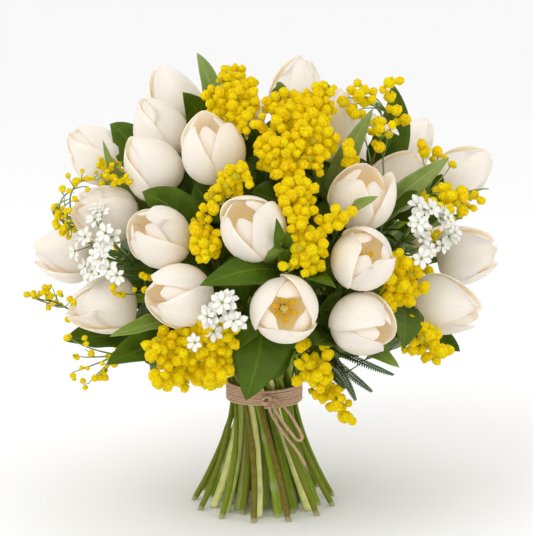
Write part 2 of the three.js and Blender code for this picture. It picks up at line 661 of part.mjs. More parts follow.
const tulipLeafLines = TULIP_LEAVES.map((leaf) => {
  const stem = tulipLines[leaf.on];
  const start = stem.points[BELOW + Math.round(leaf.up * ABOVE)];
  const points = arc(start.clone(), onBody(leaf.by), onBody(leaf.tip), SIDE);
  return { node: stem.node, width: 1.5 + 0.4 * leaf.half, leaf, points, pinned: heldAtEnds(points.length) };
});

const sideLines = sprays.flatMap(({ kind, k, spray }, n) => {
  const main = sprayLines[n].points;
  const node = sprayLines[n].node;
  const start = (i, count) => main[main.length - 1 - Math.round((i * 10) / count)].clone();
  const line = (item, from, by, to) => {
    const points = arc(from, by, to, SIDE);
    const width = kind === "leafy" ? 1.5 + 0.4 * item.half : 1.5;
    return { node, kind, k, item, width, points, pinned: heldAtEnds(points.length) };
  };
  if (kind === "leafy") {
    const { leaves } = spray;
    return leaves.map((leaf, i) => line(leaf, start(i, leaves.length), onBody(leaf.by), onBody(leaf.tip)));
  }
  const ends = (spray.tips ?? spray.flowers).map(onBody);
  return ends.map((tip, i) => {
    const from = start(i, ends.length);
    return line(tip, from, outward(from, tip), tip);
  });
});

settle([...tulipLeafLines, ...sideLines], [...tulipLines, ...sprayLines], 40);

// What is placed later gives way to what is placed first.
const placed = [];
const group = new THREE.Group();

/** Adds a finished body to the bunch as a named mesh. */
function add(name, body, material) {
  const { vertProperties, triVerts } = body.getMesh();
  const geometry = new THREE.BufferGeometry();
  geometry.setAttribute("position", new THREE.BufferAttribute(vertProperties, 3));
  geometry.setIndex(new THREE.BufferAttribute(triVerts, 1));
  geometry.computeVertexNormals();
  const mesh = new THREE.Mesh(geometry, material.clone());
  mesh.name = name;
  group.add(mesh);
}

// Blooms
TULIPS.forEach((tulip, number) => {
  const { body, corners } = bloom(tulip, number);
  add(`tulip_bloom_${number + 1}`, body, IVORY);
  placed.push(roomOf(tulip, corners));
});

// The heart of the bloom that faces the viewer: a pistil and six stamens on a small round seat
const FACING = 15;
{
  const tulip = TULIPS[FACING];
  const { axis, right, up } = axesOf(tulip);
  const inside = (x, y, z) =>
    footOf(tulip)
      .addScaledVector(axis, FLOOR + PETAL + GAP + z)
      .addScaledVector(right, x)
      .addScaledVector(up, y);
  const shaft = ([from, to], radii, sides) => {
    const heading = to.clone().sub(from).normalize();
    return rod([{ p: from, heading, radius: radii[0] }, { p: to, heading, radius: radii[1] }], sides);
  };
  const parts = [shaft([inside(0, 0, 0), inside(0, 0, 15)], [2.4, 3], 5)];
  for (let k = 0; k < 6; k += 1) {
    const angle = (k * Math.PI) / 3 + 0.3;
    const x = Math.cos(angle);
    const y = Math.sin(angle);
    parts.push(shaft([inside(x, y, 0.4), inside(7 * x, 7 * y, 15)], [1, 1.5], 3));
  }
  add("tulip_heart_16", join(parts), POLLEN);
}

// Tulip stems, a bundle at a time, each bundle with its leaves
const shares = (steps) => steps.map((step) => step / (BELOW + ABOVE));
const STEPS = shares([0, 7, 11, 14, 19, 25, 34, 46]);
const THIN_STEPS = shares([0, 7, 11, 14, 20, 32, 46]);
const WAIST_END = THIN_STEPS[3];
const stemRod = ({ points }, extra) =>
  rod(ringsAt(points, STEPS, STEM + extra, STEM_TOP + extra), STEM_SIDES);
for (let bundle = 0; bundle < 6; bundle += 1) {
  const node = `bundle ${bundle}`;
  const stems = tulipLines.filter((line) => line.node === node);
  const leaves = tulipLeafLines.filter((line) => line.node === node);
  const grown = stems.map(({ tulip }) => TULIPS.indexOf(tulip));
  const others = placed.filter((_, number) => !grown.includes(number));
  const stemsBody = clearOf(join(stems.map((line) => stemRod(line, 0))), others);
  const blades = leaves.map(({ points, leaf }) => clearOf(leafSolid(points, leaf), placed));
  add(`tulip_stems_${bundle + 1}`, clearOf(join([stemsBody, ...blades]), []), GREEN);
  placed.push(...stems.map((line) => stemRod(line, 0.4)));
  placed.push(...leaves.map(({ points, leaf }) => leafSolid(points, leaf, 0.35)));
}

// The twine: one ring with a ridge for each turn, and the knot on its front
{
  const reach = WRAPS * TWINE;
  const inside = [-reach, reach].map((height) => new THREE.Vector2(BAND, BAND_MIDDLE + height));
  const profile = [...inside];
  for (let wrap = WRAPS - 1; wrap >= 0; wrap -= 1) {
    const middle = BAND_MIDDLE + (wrap - (WRAPS - 1) / 2) * 2 * TWINE;
    profile.push(new THREE.Vector2(BAND + 2 * TWINE, middle));
    if (wrap > 0) profile.push(new THREE.Vector2(BAND + 1.2 * TWINE, middle - TWINE));
  }
  profile.push(profile[0].clone());
  const ring = new THREE.LatheGeometry(profile.reverse(), BAND_SIDES).rotateX(Math.PI / 2);
  const knot = new THREE.SphereGeometry(1, 6, 4).scale(5, 3.4, 4.4).translate(KNOT.x, KNOT.y, KNOT.z);
  add("twine_band", join([solid(ring), solid(knot)]), JUTE);
}

/** Twine along a smooth curve through points chosen by hand. */
function twine(points) {
  const curve = new THREE.CatmullRomCurve3(points.map(onBody));
  const section = new THREE.Shape().absarc(0, 0, TWINE, 0, 2 * Math.PI);
  const steps = Math.round(curve.getLength() / 7);
  const options = { steps, extrudePath: curve, curveSegments: 4, bevelEnabled: false };
  return solid(new THREE.ExtrudeGeometry(section, options));
}
add("twine_tail", twine(TAIL), JUTE);
add("twine_loop", twine(LOOP), JUTE);

// The thin stems with what grows on them
const mains = sprays.map((spray, n) => ({ ...spray, main: sprayLines[n] }));
const mainWidths = ({ seat }) => (seat.x === 0 && seat.y === 0 ? [WOODY, 1.6] : [TWIG, TWIG_TIP]);
const mainRod = (spray, room) => {
  const [wide, narrow] = mainWidths(spray);
  const sides = wide === WOODY ? 6 : 4;
  return rod(ringsAt(spray.main.points, THIN_STEPS, wide + room, narrow + room, WAIST_END), sides);
};
for (const spray of mains) spray.room = mainRod(spray, 0.5);

/** The largest body of a spray that is left clear of all that is placed and of the other main stems. */
function grow(spray, parts) {
  const others = mains.filter((other) => other !== spray).map((other) => other.room);
  const foes = [...placed, ...others];
  const bodies = parts.map((part) => clearOf(part, foes)).filter((part) => part);
  return clearOf(join([mainRod(spray, 0), ...bodies]), foes);
}

for (const spray of mains.filter(({ kind }) => kind === "leafy")) {
  const lines = sideLines.filter(({ kind, k }) => kind === spray.kind && k === spray.k);
  const leaves = lines.map(({ points, item }) => leafSolid(points, item));
  add(`leafy_branch_${spray.k + 1}`, grow(spray, leaves), DARK);
  placed.push(...lines.map(({ points, item }) => leafSolid(points, item, 0.45)));
}

/**
 * A small flower on its stalk: the stalk's five corners open out under the flower into a star with
 * five points and five notches, and close over it in a raised middle.
 */
function star({ points }, radius) {
  const corners = [];
  const triangles = [];
  const ring = (along, ahead, radii) => {
    const { p, heading } = onLine(points, along);
    const side = at(1, 0, 0).projectOnPlane(heading).normalize();
    const other = heading.clone().cross(side);
    radii.forEach(([reach, lift], n) => {
      const angle = (n * 2 * Math.PI) / radii.length;
      corners.push(p.clone().addScaledVector(heading, ahead + lift)
        .addScaledVector(side, reach * Math.cos(angle))
        .addScaledVector(other, reach * Math.sin(angle)));
    });
  };
  const stalk = Array(5).fill([1.1, 0]);
  ring(0, 0, stalk);
  ring(1, -2, stalk);
  ring(1, 0, Array.from({ length: 10 }, (_, n) => (n % 2 ? [radius * 0.5, 0] : [radius, 1.5])));
  corners.push(points.at(-1).clone().addScaledVector(onLine(points, 1).heading, 1.2));
  for (let n = 0; n < 5; n += 1) {
    const next = (n + 1) % 5;
    const [tip, notch, tipNext] = [10 + 2 * n, 11 + 2 * n, 10 + 2 * next];
    triangles.push(n, next, 5 + next, n, 5 + next, 5 + n);
    triangles.push(5 + n, notch, tip, 5 + n, 5 + next, notch, 5 + next, tipNext, notch);
    triangles.push(tip, notch, 20, notch, tipNext, 20);
    if (n > 0 && n < 4) triangles.push(0, n + 1, n);
  }
  return facets(corners, triangles);
}

const icosahedron = ({ x, y, z }, radius) =>
  solid(new THREE.IcosahedronGeometry(radius).translate(x, y, z));

/** Whether a solid keeps the gap to everything near it. */
const fits = (body, foes) =>
  foes.every((foe) => !boxesMeet(body, foe, GAP) || body.minGap(foe, 2 * GAP) > GAP);

for (const spray of mains.filter(({ kind }) => kind === "stars")) {
  const lines = sideLines.filter(({ kind, k }) => kind === spray.kind && k === spray.k);
  const foes = [...placed, ...mains.filter((other) => other !== spray).map((other) => other.room)];
  const flowers = lines.map((line) => star(line, FLORET));
  const whole = flowers.filter((flower) => clearOf(flower, foes)?.volume() > 0.7 * flower.volume());
  add(`star_flowers_${spray.k + 1}`, grow(spray, whole), IVORY);
  placed.push(...lines.map(({ points }) => rod(ringsAt(points, [0, 1], 2.1, 2.1), 4)));
  placed.push(...lines.map(({ points }) => icosahedron(points.at(-1), FLORET + 1.8)));
}

/** A fern frond: a thin arched blade whose edge is cut into leaflets. */
function frond(line, extra = 0) {
  const corners = [];
  const triangles = [];
  const leaflets = 5;
  const bare = 0.36;
  for (let n = 0; n <= leaflets; n += 1) {
    const { p, heading } = onLine(line, n === 0 ? 0 : mix(bare, 1, (n - 1) / (leaflets - 1)));
    if (n === leaflets) p.addScaledVector(heading, extra);
    const side = heading.clone().cross(faceOf(line)).normalize();
    const up = side.clone().cross(heading);
    const reach = (n === 0 ? 1.6 : 9 * (1 - (n / leaflets) ** 2) + 2) + extra;
    for (const lift of [0.5 + extra, -0.5 - extra]) {
      corners.push(p.clone().addScaledVector(up, lift));
      for (const way of [-1, 1]) {
        const edge = p.clone().addScaledVector(up, lift);
        corners.push(edge.clone().addScaledVector(side, way * (1.2 + extra)));
        edge.addScaledVector(side, way * reach).addScaledVector(heading, 4).addScaledVector(up, -1);
        corners.push(edge);
      }
    }
  }
  const quad = (a, b, c, d) => triangles.push(a, b, c, a, c, d);
  for (let n = 0; n < leaflets; n += 1) {
    const [top, under] = [n * 10, n * 10 + 5];
    const [topNext, underNext] = [top + 10, under + 10];
    const [mid, left, leftTip, right, rightTip] = [0, 1, 2, 3, 4];
    quad(top + left, top + mid, topNext + mid, topNext + left);
    quad(top + mid, top + right, topNext + right, topNext + mid);
    quad(under + mid, under + left, underNext + left, underNext + mid);
    quad(under + right, under + mid, underNext + mid, underNext + right);
    triangles.push(top + leftTip, top + left, topNext + left, top + right, top + rightTip, topNext + right);
    triangles.push(under + left, under + leftTip, underNext + left);
    triangles.push(under + rightTip, under + right, underNext + right);
    quad(top + left, top + leftTip, under + leftTip, under + left);
    quad(top + leftTip, topNext + left, underNext + left, under + leftTip);
    quad(top + rightTip, top + right, under + right, under + rightTip);
    quad(topNext + right, top + rightTip, under + rightTip, underNext + right);
  }
  const last = leaflets * 10;
  quad(1, 6, 5, 0);
  quad(0, 5, 8, 3);
  quad(last, last + 5, last + 6, last + 1);
  quad(last + 3, last + 8, last + 5, last);
  return facets(corners, triangles);
}

for (const spray of mains.filter(({ kind }) => kind === "fern")) {
  const lines = sideLines.filter(({ kind }) => kind === "fern");
  add("fern_stem", grow(spray, lines.map(({ points }) => frond(points))), DARK);
  placed.push(...lines.map(({ points }) => frond(points, 0.7)));
}

/**
 * A side twig with its flower balls as one rod: bare at first, then a ball every few millimetres,
 * turned round the twig by the golden angle. A ball that has no room is left out.
 */
function beaded({ points, item }, from, foes) {
  const length = points.slice(1).reduce((sum, p, k) => sum + p.distanceTo(points[k]), 0);
  const count = Math.max(2, Math.round((length * (1 - from)) / BALL_STEP));
  const rings = ringsAt(points, [0], 1.1, 1.1);
  rings.push({ ...onLine(points, from * 0.6), radius: 1 });
  for (let n = 0; n < count; n += 1) {
    const along = 1 - ((count - 1 - n) * BALL_STEP) / length;
    const { p, heading } = onLine(points, along);
    const side = at(0, 0, 1).projectOnPlane(heading).normalize().applyAxisAngle(heading, n * 2.4 + item.x);
    const middle = p.clone().addScaledVector(side, n === count - 1 ? 0 : BALL_OFF);
    const ring = (ahead, radius, base) =>
      ({ p: base.clone().addScaledVector(heading, ahead), heading, radius, staggered: true });
    rings.push(ring(-BALL_STEP / 2, 0.9, p));
    if (fits(icosahedron(middle, BALL), foes)) {
      rings.push(ring(-0.45 * BALL, 0.95 * BALL, middle), ring(0.45 * BALL, 0.95 * BALL, middle));
    }
  }
  rings.push({ ...onLine(points, 1), radius: 1.2 });
  rings.at(-1).p.addScaledVector(rings.at(-1).heading, BALL - 0.2);
  return rod(rings, 4);
}

for (const spray of mains.filter(({ kind }) => kind === "mimosa")) {
  const lines = sideLines.filter(({ kind, k }) => kind === spray.kind && k === spray.k);
  const foes = [...placed, ...mains.filter((other) => other !== spray).map((other) => other.room)];
  const twigs = lines.map((line) => beaded(line, spray.spray.from ?? 0.64, foes));
  add(`mimosa_${spray.k + 1}`, grow(spray, twigs), YELLOW);
  placed.push(...lines.map((line) => beaded(line, spray.spray.from ?? 0.64, foes)));
}

export default group;
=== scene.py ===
import math

import bpy
import numpy as np
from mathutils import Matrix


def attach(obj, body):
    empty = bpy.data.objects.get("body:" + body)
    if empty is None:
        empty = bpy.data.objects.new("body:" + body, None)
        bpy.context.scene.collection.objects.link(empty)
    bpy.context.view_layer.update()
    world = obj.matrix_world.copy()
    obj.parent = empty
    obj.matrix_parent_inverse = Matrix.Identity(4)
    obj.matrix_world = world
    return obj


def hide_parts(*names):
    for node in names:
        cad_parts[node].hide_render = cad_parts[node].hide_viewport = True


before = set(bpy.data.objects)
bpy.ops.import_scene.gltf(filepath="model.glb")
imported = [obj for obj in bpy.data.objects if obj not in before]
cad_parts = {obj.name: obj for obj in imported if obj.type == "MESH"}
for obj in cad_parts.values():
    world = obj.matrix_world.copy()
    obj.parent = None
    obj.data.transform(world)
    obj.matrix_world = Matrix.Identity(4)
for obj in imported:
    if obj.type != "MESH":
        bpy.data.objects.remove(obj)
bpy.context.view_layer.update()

# The camera
# The photograph is taken from in front, ten degrees above level, with a long lens.

CAMERA_AT = np.array([0.002, -1.3787, 0.4486])  # in metres
LOOKED_AT = np.array([0.002, 0.0, 0.2055])
LENS, FILM = 110.6, 36  # the lens and the width of the film, in millimetres
FARTHEST = 100  # what lies beyond isn't seen, in metres

camera = bpy.data.objects.new("camera", bpy.data.cameras.new("camera"))
bpy.context.scene.collection.objects.link(camera)
bpy.context.scene.camera = camera
to_camera = CAMERA_AT - LOOKED_AT
camera.location = CAMERA_AT
camera.rotation_euler = (math.atan2(-to_camera[1], to_camera[2]), 0, 0)
camera.data.sensor_width = FILM
camera.data.lens = LENS
camera.data.clip_end = FARTHEST

# The free twine
# The tail and the bow loop that come out of the knot: two plies of jute twisted together. The tail
# is cut off and has begun to fray, and both ends of the loop go back into the knot.

TWINE = 1.25  # half its thickness. Every length from here on is in millimetres
PLY_TURN = 5.2  # the length of twine in which its two plies turn once
TWINE_SIDES = 12  # corners of a ring round it
TWINE_STEP = 0.55  # from one ring to the next
TAIL = np.array([[3.8, -36, 94.6], [6, -36.6, 88], [10, -37.6, 80.5], [15.5, -38, 72.5], [21, -38, 64.8],
                 [26.5, -37.8, 57.4], [31, -37.2, 50], [34.5, -36, 42.9]])
LOOP = np.array([[7.8, -34.8, 100.5], [14, -37, 97], [20, -39.5, 90], [26, -41, 81], [30.5, -41.5, 73],
                 [32, -41.5, 68.5], [30.4, -41.3, 65.8], [27.4, -41.2, 66.6], [22.5, -41.8, 72.5],
                 [16.5, -42.2, 81], [10.5, -41.2, 90], [6.9, -38.8, 96.4]])
JUTE_PALE, JUTE_TAN, JUTE_GROOVE_SHADE = (0.68, 0.46, 0.30), (0.52, 0.34, 0.20), (0.36, 0.225, 0.13)
METRES = 0.001  # in a millimetre


def unit(v):
    """The vectors, each divided by its length."""
    return v / np.linalg.norm(v, axis=-1, keepdims=True)


def smooth_route(points, step):
    """Even points on a curve through given ones: between two of them runs a cubic of forty steps
    whose slopes come from the neighbours, each weighted by the square root of its distance."""
    p = np.concatenate([[2 * points[0] - points[1]], points, [2 * points[-1] - points[-2]]])
    d = np.sqrt(np.linalg.norm(np.diff(p, axis=0), axis=1))[:, None]
    d0, d1, d2 = d[:-2], d[1:-1], d[2:]
    p0, p1, p2, p3 = p[:-3], p[1:-2], p[2:-1], p[3:]
    leave = d1 * ((p1 - p0) / d0 - (p2 - p0) / (d0 + d1) + (p2 - p1) / d1)
    arrive = d1 * ((p2 - p1) / d1 - (p3 - p1) / (d1 + d2) + (p3 - p2) / d2)
    t = np.linspace(0, 1, 40, endpoint=False)[:, None, None]
    bend = (3 * (p2 - p1) - 2 * leave - arrive) * t**2 + (2 * (p1 - p2) + leave + arrive) * t**3
    curve = np.moveaxis(p1 + leave * t + bend, 0, 1).reshape(-1, 3)
    curve = np.concatenate([curve, points[-1:]])
    run = np.concatenate([[0], np.cumsum(np.linalg.norm(np.diff(curve, axis=0), axis=1))])
    even = np.linspace(0, run[-1], round(run[-1] / step) + 1)
    return np.stack([np.interp(even, run, curve[:, k]) for k in range(3)], axis=1)


def tube_faces(count, rings, sides):
    """The faces of closed tubes whose corners are counted tube by tube and ring by ring: strips of
    four-sided faces along each, and a flat cap at both ends."""
    first = (np.arange(count) * rings * sides)[:, None, None]
    low = first + (np.arange(rings - 1) * sides)[None, :, None]
    a = np.arange(sides)
    b = (a + 1) % sides
    strips = np.stack([low + a, low + b, low + sides + b, low + sides + a], axis=-1).reshape(-1, 4)
    caps = [first[:, 0] + a[::-1], first[:, 0] + (rings - 1) * sides + a]
    return [strips, np.concatenate(caps)]


def tubes(lines, radii, sides, guide, **marks):
    """Closed tubes round lines: at each point of a line a ring of corners, the radius times the
    cosine and sine of its angle, in the plane square to the line."""
    ahead = unit(np.gradient(lines, axis=-2))
    side = unit(np.cross(guide, ahead))
    up = np.cross(ahead, side)
    angle = np.arange(sides) * 2 * np.pi / sides
    ring = side[..., None, :] * np.cos(angle)[:, None] + up[..., None, :] * np.sin(angle)[:, None]
    points = lines[..., None, :] + ring * np.broadcast_to(radii, (*lines.shape[:-1], sides))[..., None]
    faces = tube_faces(int(np.prod(lines.shape[:-2])), lines.shape[-2], sides)
    return points, faces, {"around": np.abs(2 * np.arange(sides) / sides - 1), **marks}


def twine_skin(route):
    """Two-ply twine: round each point of the route a ring whose radius swells twice on its way
    round, and the swelling turns once in every ply turn of length."""
    run = np.linspace(0, np.linalg.norm(np.diff(route, axis=0), axis=1).sum(), len(route))
    angle = np.arange(TWINE_SIDES) * 2 * np.pi / TWINE_SIDES
    ply = np.abs(np.cos(angle - run[:, None] * 2 * np.pi / PLY_TURN))
    radii = TWINE * (0.84 + 0.24 * ply)
    return tubes(route[None], radii[None], TWINE_SIDES, unit(route * [1, 1, 0]), groove=1 - ply)


def volume(points, faces):
    """The signed volume of a closed skin: the sum over its faces of fans of three-sided slices."""
    total = 0
    for group in faces:
        corner = points.reshape(-1, 3)[group]
        for k in range(1, group.shape[1] - 1):
            total += np.einsum("ij,ij->i", corner[:, 0], np.cross(corner[:, k], corner[:, k + 1])).sum()
    return total / 6


def make(name, skins, finish, nodes=()):
    """One mesh object out of closed skins, each with its corners in millimetres, its faces and the
    marks at its corners. It rides on the bunch and stands for CAD nodes."""
    points, faces, start = [], [], 0
    titles = sorted({title for _, _, marks in skins for title in marks})
    kept = {title: [] for title in titles}
    for corners, groups, marks in skins:
        turn = -1 if volume(corners, groups) < 0 else 1
        for group in groups:
            faces += (group[:, ::turn] + start).tolist()
        points.append(corners.reshape(-1, 3))
        start += len(points[-1])
        for title in titles:
            values = np.broadcast_to(marks.get(title, 0.0), corners.shape[:-1])
            kept[title].append(values.reshape(-1).astype(np.float32))
    mesh = bpy.data.meshes.new(name)
    mesh.from_pydata((np.concatenate(points) * METRES).tolist(), [], faces)
    for title, values in kept.items():
        mesh.attributes.new(title, "FLOAT", "POINT").data.foreach_set("value", np.concatenate(values))
    mesh.shade_smooth()
    mesh.materials.append(finish)
    made = bpy.data.objects.new(name, mesh)
    bpy.context.scene.collection.objects.link(made)
    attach(made, "root")
    if nodes:
        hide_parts(*nodes)
    return made


def feed(tree, node, **sockets):
    """A node's sockets, each by its name or, after the word in, its number, and each given a value
    or what feeds it."""
    for key, value in sockets.items():
        number = key.removeprefix("in")
        socket = node.inputs[int(number) if number.isdigit() else key.replace("_", " ")]
        if isinstance(value, bpy.types.NodeSocket):
            tree.links.new(value, socket)
        else:
            socket.default_value = value
    return node


def add(tree, kind, settings=None, **sockets):
    """One new node of a tree, with its settings and its sockets."""
    node = tree.nodes.new("ShaderNode" + kind)
    for key, value in (settings or {}).items():
        setattr(node, key, value)
    return feed(tree, node, **sockets)


def mark(tree, name):
    """The value of one of the piece's own marks."""
    return add(tree, "Attribute", {"attribute_name": name}).outputs["Fac"]


def sum_up(tree, how, a, b):
    """Two values put together by one operation."""
    return add(tree, "Math", {"operation": how}, in0=a, in1=b).outputs[0]


def size_of(tree, value):
    """A value without its sign."""
    return sum_up(tree, "ABSOLUTE", value, 0.0)


def full(colour):
    """A colour as a shader takes it, with nothing see-through in it."""
    return (*colour, 1) if isinstance(colour, tuple) else colour


def blend(tree, share, a, b, most=1):
    """Colour a, with as much of colour b as the share says, times the most of it."""
    if most != 1:
        share = sum_up(tree, "MULTIPLY", share, most)
    return add(tree, "Mix", {"data_type": "RGBA"}, in0=share, in6=full(a), in7=full(b)).outputs[2]


def fade(tree, value, low, high):
    """A value spread from 0 at low to 1 at high, and held there beyond both."""
    return add(tree, "MapRange", in0=value, in1=low, in2=high).outputs[0]


def relief(tree, height, strength, distance):
    """The tilt of a surface that a height gives it, for fine relief."""
    return add(tree, "Bump", Strength=strength, Distance=distance, Height=height).outputs[0]


def effect(name, inputs, outputs):
    """A new shader node group with these inputs and outputs, and its two end nodes."""
    group = bpy.data.node_groups.new(name, "ShaderNodeTree")
    for title, value in inputs.items():
        kind = "NodeSocketColor" if isinstance(value, tuple) else "NodeSocketFloat"
        socket = group.interface.new_socket(title, in_out="INPUT", socket_type=kind)
        socket.default_value = (*value, 1) if isinstance(value, tuple) else value
    for title in outputs:
        kind = "NodeSocketColor" if title == "Color" else "NodeSocketFloat"
        group.interface.new_socket(title, in_out="OUTPUT", socket_type=kind)
    return group, group.nodes.new("NodeGroupInput"), group.nodes.new("NodeGroupOutput")


def use(tree, group, **sockets):
    """What a group gives in a material, with its own values."""
    return add(tree, "Group", {"node_tree": group}, **sockets).outputs[0]


def finish_named(name, viewed):
    """A new material and its tree, with its shader ready to be fed."""
    material = bpy.data.materials.new(name)
    material.use_nodes = True
    material.diffuse_color = (*viewed, 1)
    tree = material.node_tree
    tree.nodes.clear()
    shader = tree.nodes.new("ShaderNodeBsdfPrincipled")
    surface = tree.nodes.new("ShaderNodeOutputMaterial")
    tree.links.new(shader.outputs[0], surface.inputs[0])
    return material, tree, shader


# Patches of a second colour, as a living surface has them, at any scale.
PATCH_INPUTS = {"Scale": 80.0, "Amount": 0.5, "One": (1, 1, 1), "Two": (0, 0, 0)}
patches, given, result = effect("patches", PATCH_INPUTS, ["Color"])
place = add(patches, "TexCoord").outputs["Object"]
noise = add(patches, "TexNoise", Vector=place, Scale=given.outputs["Scale"], Detail=3.0).outputs[0]
masked = sum_up(patches, "MULTIPLY", fade(patches, noise, 0.35, 0.65), given.outputs["Amount"])
feed(patches, result, Color=blend(patches, masked, given.outputs["One"], given.outputs["Two"]))

# Fine fibres or fuzz on a surface, as a height for a bump.
fuzz, given, result = effect("fuzz", {"Scale": 900.0}, ["Height"])
place = add(fuzz, "TexCoord").outputs["Object"]
near = add(fuzz, "TexNoise", Vector=place, Scale=given.outputs["Scale"], Detail=4.0, Roughness=0.7)
feed(fuzz, result, Height=near.outputs[0])


def patched(tree, scale, amount, one, two):
    """Colour one with patches of colour two."""
    return use(tree, patches, Scale=scale, Amount=amount, One=full(one), Two=full(two))


jute, tree, shader = finish_named("jute_twine", JUTE_PALE)
grain = patched(tree, 420.0, 0.55, JUTE_PALE, JUTE_TAN)
# Painted shade: the twine is darker in the groove between its two plies, where shade falls.
hue = blend(tree, fade(tree, mark(tree, "groove"), 0.5, 1.0), grain, JUTE_GROOVE_SHADE)
hairs = use(tree, fuzz, Scale=2400.0)
feed(tree, shader, Base_Color=hue, Roughness=0.9, Normal=relief(tree, hairs, 0.6, 0.0004))


def frayed(end, ahead, fibres, reach, seed):
    """Loose fibres: thin tapering tubes that start in the twine and bend away from it at random."""
    rng = np.random.default_rng(seed)
    away = unit(rng.normal(size=(fibres, 3)))
    t = np.linspace(0, 1, 6)[None, :, None]
    spread = reach * (0.6 + 0.6 * rng.random((fibres, 1, 1)))
    lines = end + spread * (t * ahead + 0.55 * t**2 * away[:, None, :]) + 0.5 * away[:, None, :]
    return tubes(lines, 0.16 * (1 - 0.8 * t), 3, (0.3, 0.8, 0.1), groove=0.2)


tail_route = smooth_route(TAIL, TWINE_STEP)
tail_end = tail_route[-1] - 0.6 * unit(tail_route[-1] - tail_route[-2])
tail = make("tail_of_twine", [twine_skin(tail_route)], jute, ["twine_tail"])
loose_ends = frayed(tail_end, unit(tail_route[-1] - tail_route[-5]), 26, 7.0, 5)
fray = make("frayed_end", [loose_ends], jute)
loop_route = smooth_route(LOOP, TWINE_STEP)
loop = make("loop_of_twine", [twine_skin(loop_route)], jute, ["twine_loop"])
for cord, route, far_end, on_it in [(tail, tail_route, "bare", [fray]), (loop, loop_route, "object", [])]:
    route = route * METRES
    long = float(np.linalg.norm(np.diff(route, axis=0), axis=1).sum())

# The twine band
# Seven turns of the same twine wound round the stems side by side, and tied in front in a flat
# knot of three bights that lie across each other. A few loose fibres stand out of it.

BAND = 30.3  # its inner radius
BAND_MIDDLE = 99.5  # its height
WRAPS = 7
WRAP_STEPS = 1500  # points along it
LOOSE_FIBRES = 150
KNOT = np.array([2, -35, 99])

wound = np.linspace(0, 1, WRAP_STEPS)
round_band = 2 * np.pi * WRAPS * wound - np.pi / 2
slack = 0.25 * np.sin(round_band * 1.37 + 1) + 0.18 * np.sin(round_band * 3.1)
reach = BAND + TWINE + 0.15 + slack * 0.5
height = BAND_MIDDLE + (wound - 0.5) * (WRAPS - 1) * 2 * TWINE * 1.02 + slack
winding = np.stack([reach * np.cos(round_band), reach * np.sin(round_band), height], axis=1)
run = np.concatenate([[0], np.cumsum(np.linalg.norm(np.diff(winding, axis=0), axis=1))])
even = np.linspace(0, run[-1], WRAP_STEPS)
winding = np.stack([np.interp(even, run, winding[:, k]) for k in range(3)], axis=1)


def bight(centre, across, high, tilt, lean):
    """One bight of the knot: an oval of twine, its two half widths times the cosine and sine of an
    angle, tilted in its plane and leaning forward as it goes round."""
    angle = np.linspace(0.15, 2 * np.pi - 0.15, 60)
    x = across * np.cos(angle)
    z = high * np.sin(angle)
    flat = np.stack([x * np.cos(tilt) - z * np.sin(tilt), -lean * np.sin(2 * angle + tilt),
                     x * np.sin(tilt) + z * np.cos(tilt)], axis=1)
    return centre + flat


bights = [bight(KNOT + [0.2, -0.8, 0.4], 3.6, 2.3, 0.5, 1.1),
          bight(KNOT + [-0.4, -0.4, -0.2], 2.5, 3.4, -0.4, -1.2),
          bight(KNOT + [0, 1.2, 0], 3.4, 3.0, 0.1, 0.6)]
rng = np.random.default_rng(11)
loose = []
for k in rng.choice(WRAP_STEPS, LOOSE_FIBRES):
    outward = unit(winding[k] * [1, 1, 0])
    ahead = unit(outward * 0.7 + rng.normal(size=3) * 0.5)
    loose.append(frayed(winding[k] + outward * 0.9, ahead, 1, 2.4, int(k)))
wraps = [twine_skin(route) for route in (winding, *bights)]
make("twine_wraps", wraps + loose, jute, ["twine_band"])

# The tulip stems
# Thirty fleshy green stems, cut level. They lean into a spiral, so that they cross where the twine
# holds them, spread above to the blooms and splay below to the cut ends that the bunch stands on.

TIE = 101  # height of the waist
SPLAY = 8.8e-5  # spread with the square of the distance below the waist
SWIRL = 0.01287  # slant round the bunch: the turn in radians for a millimetre of height
HEART = np.array([0, 0, 190])  # what everything faces away from
BUNDLES, EACH = 6, 5  # bundles of tulips, and the tulips in each
BELOW, ABOVE, SIDE = 12, 34, 20  # steps of a line under the waist, over it, and of a side line
STEM, TWIG, WOODY = 3.6, 1.8, 5.4  # the room that stems, thin stems and the middle branch take
STURDY = 1  # the place of the middle branch among the branches
STEM_SIDES, THIN_SIDES = 12, 8  # corners of a ring round a stem, and round a thin one
STEM_GREEN, STEM_PALE, STEM_DEEP = (0.27, 0.39, 0.008), (0.93, 0.93, 0.38), (0.08, 0.14, 0.003)
JOINT_TAN, CUT_PALE = (0.5, 0.5, 0.27), (0.62, 0.63, 0.36)

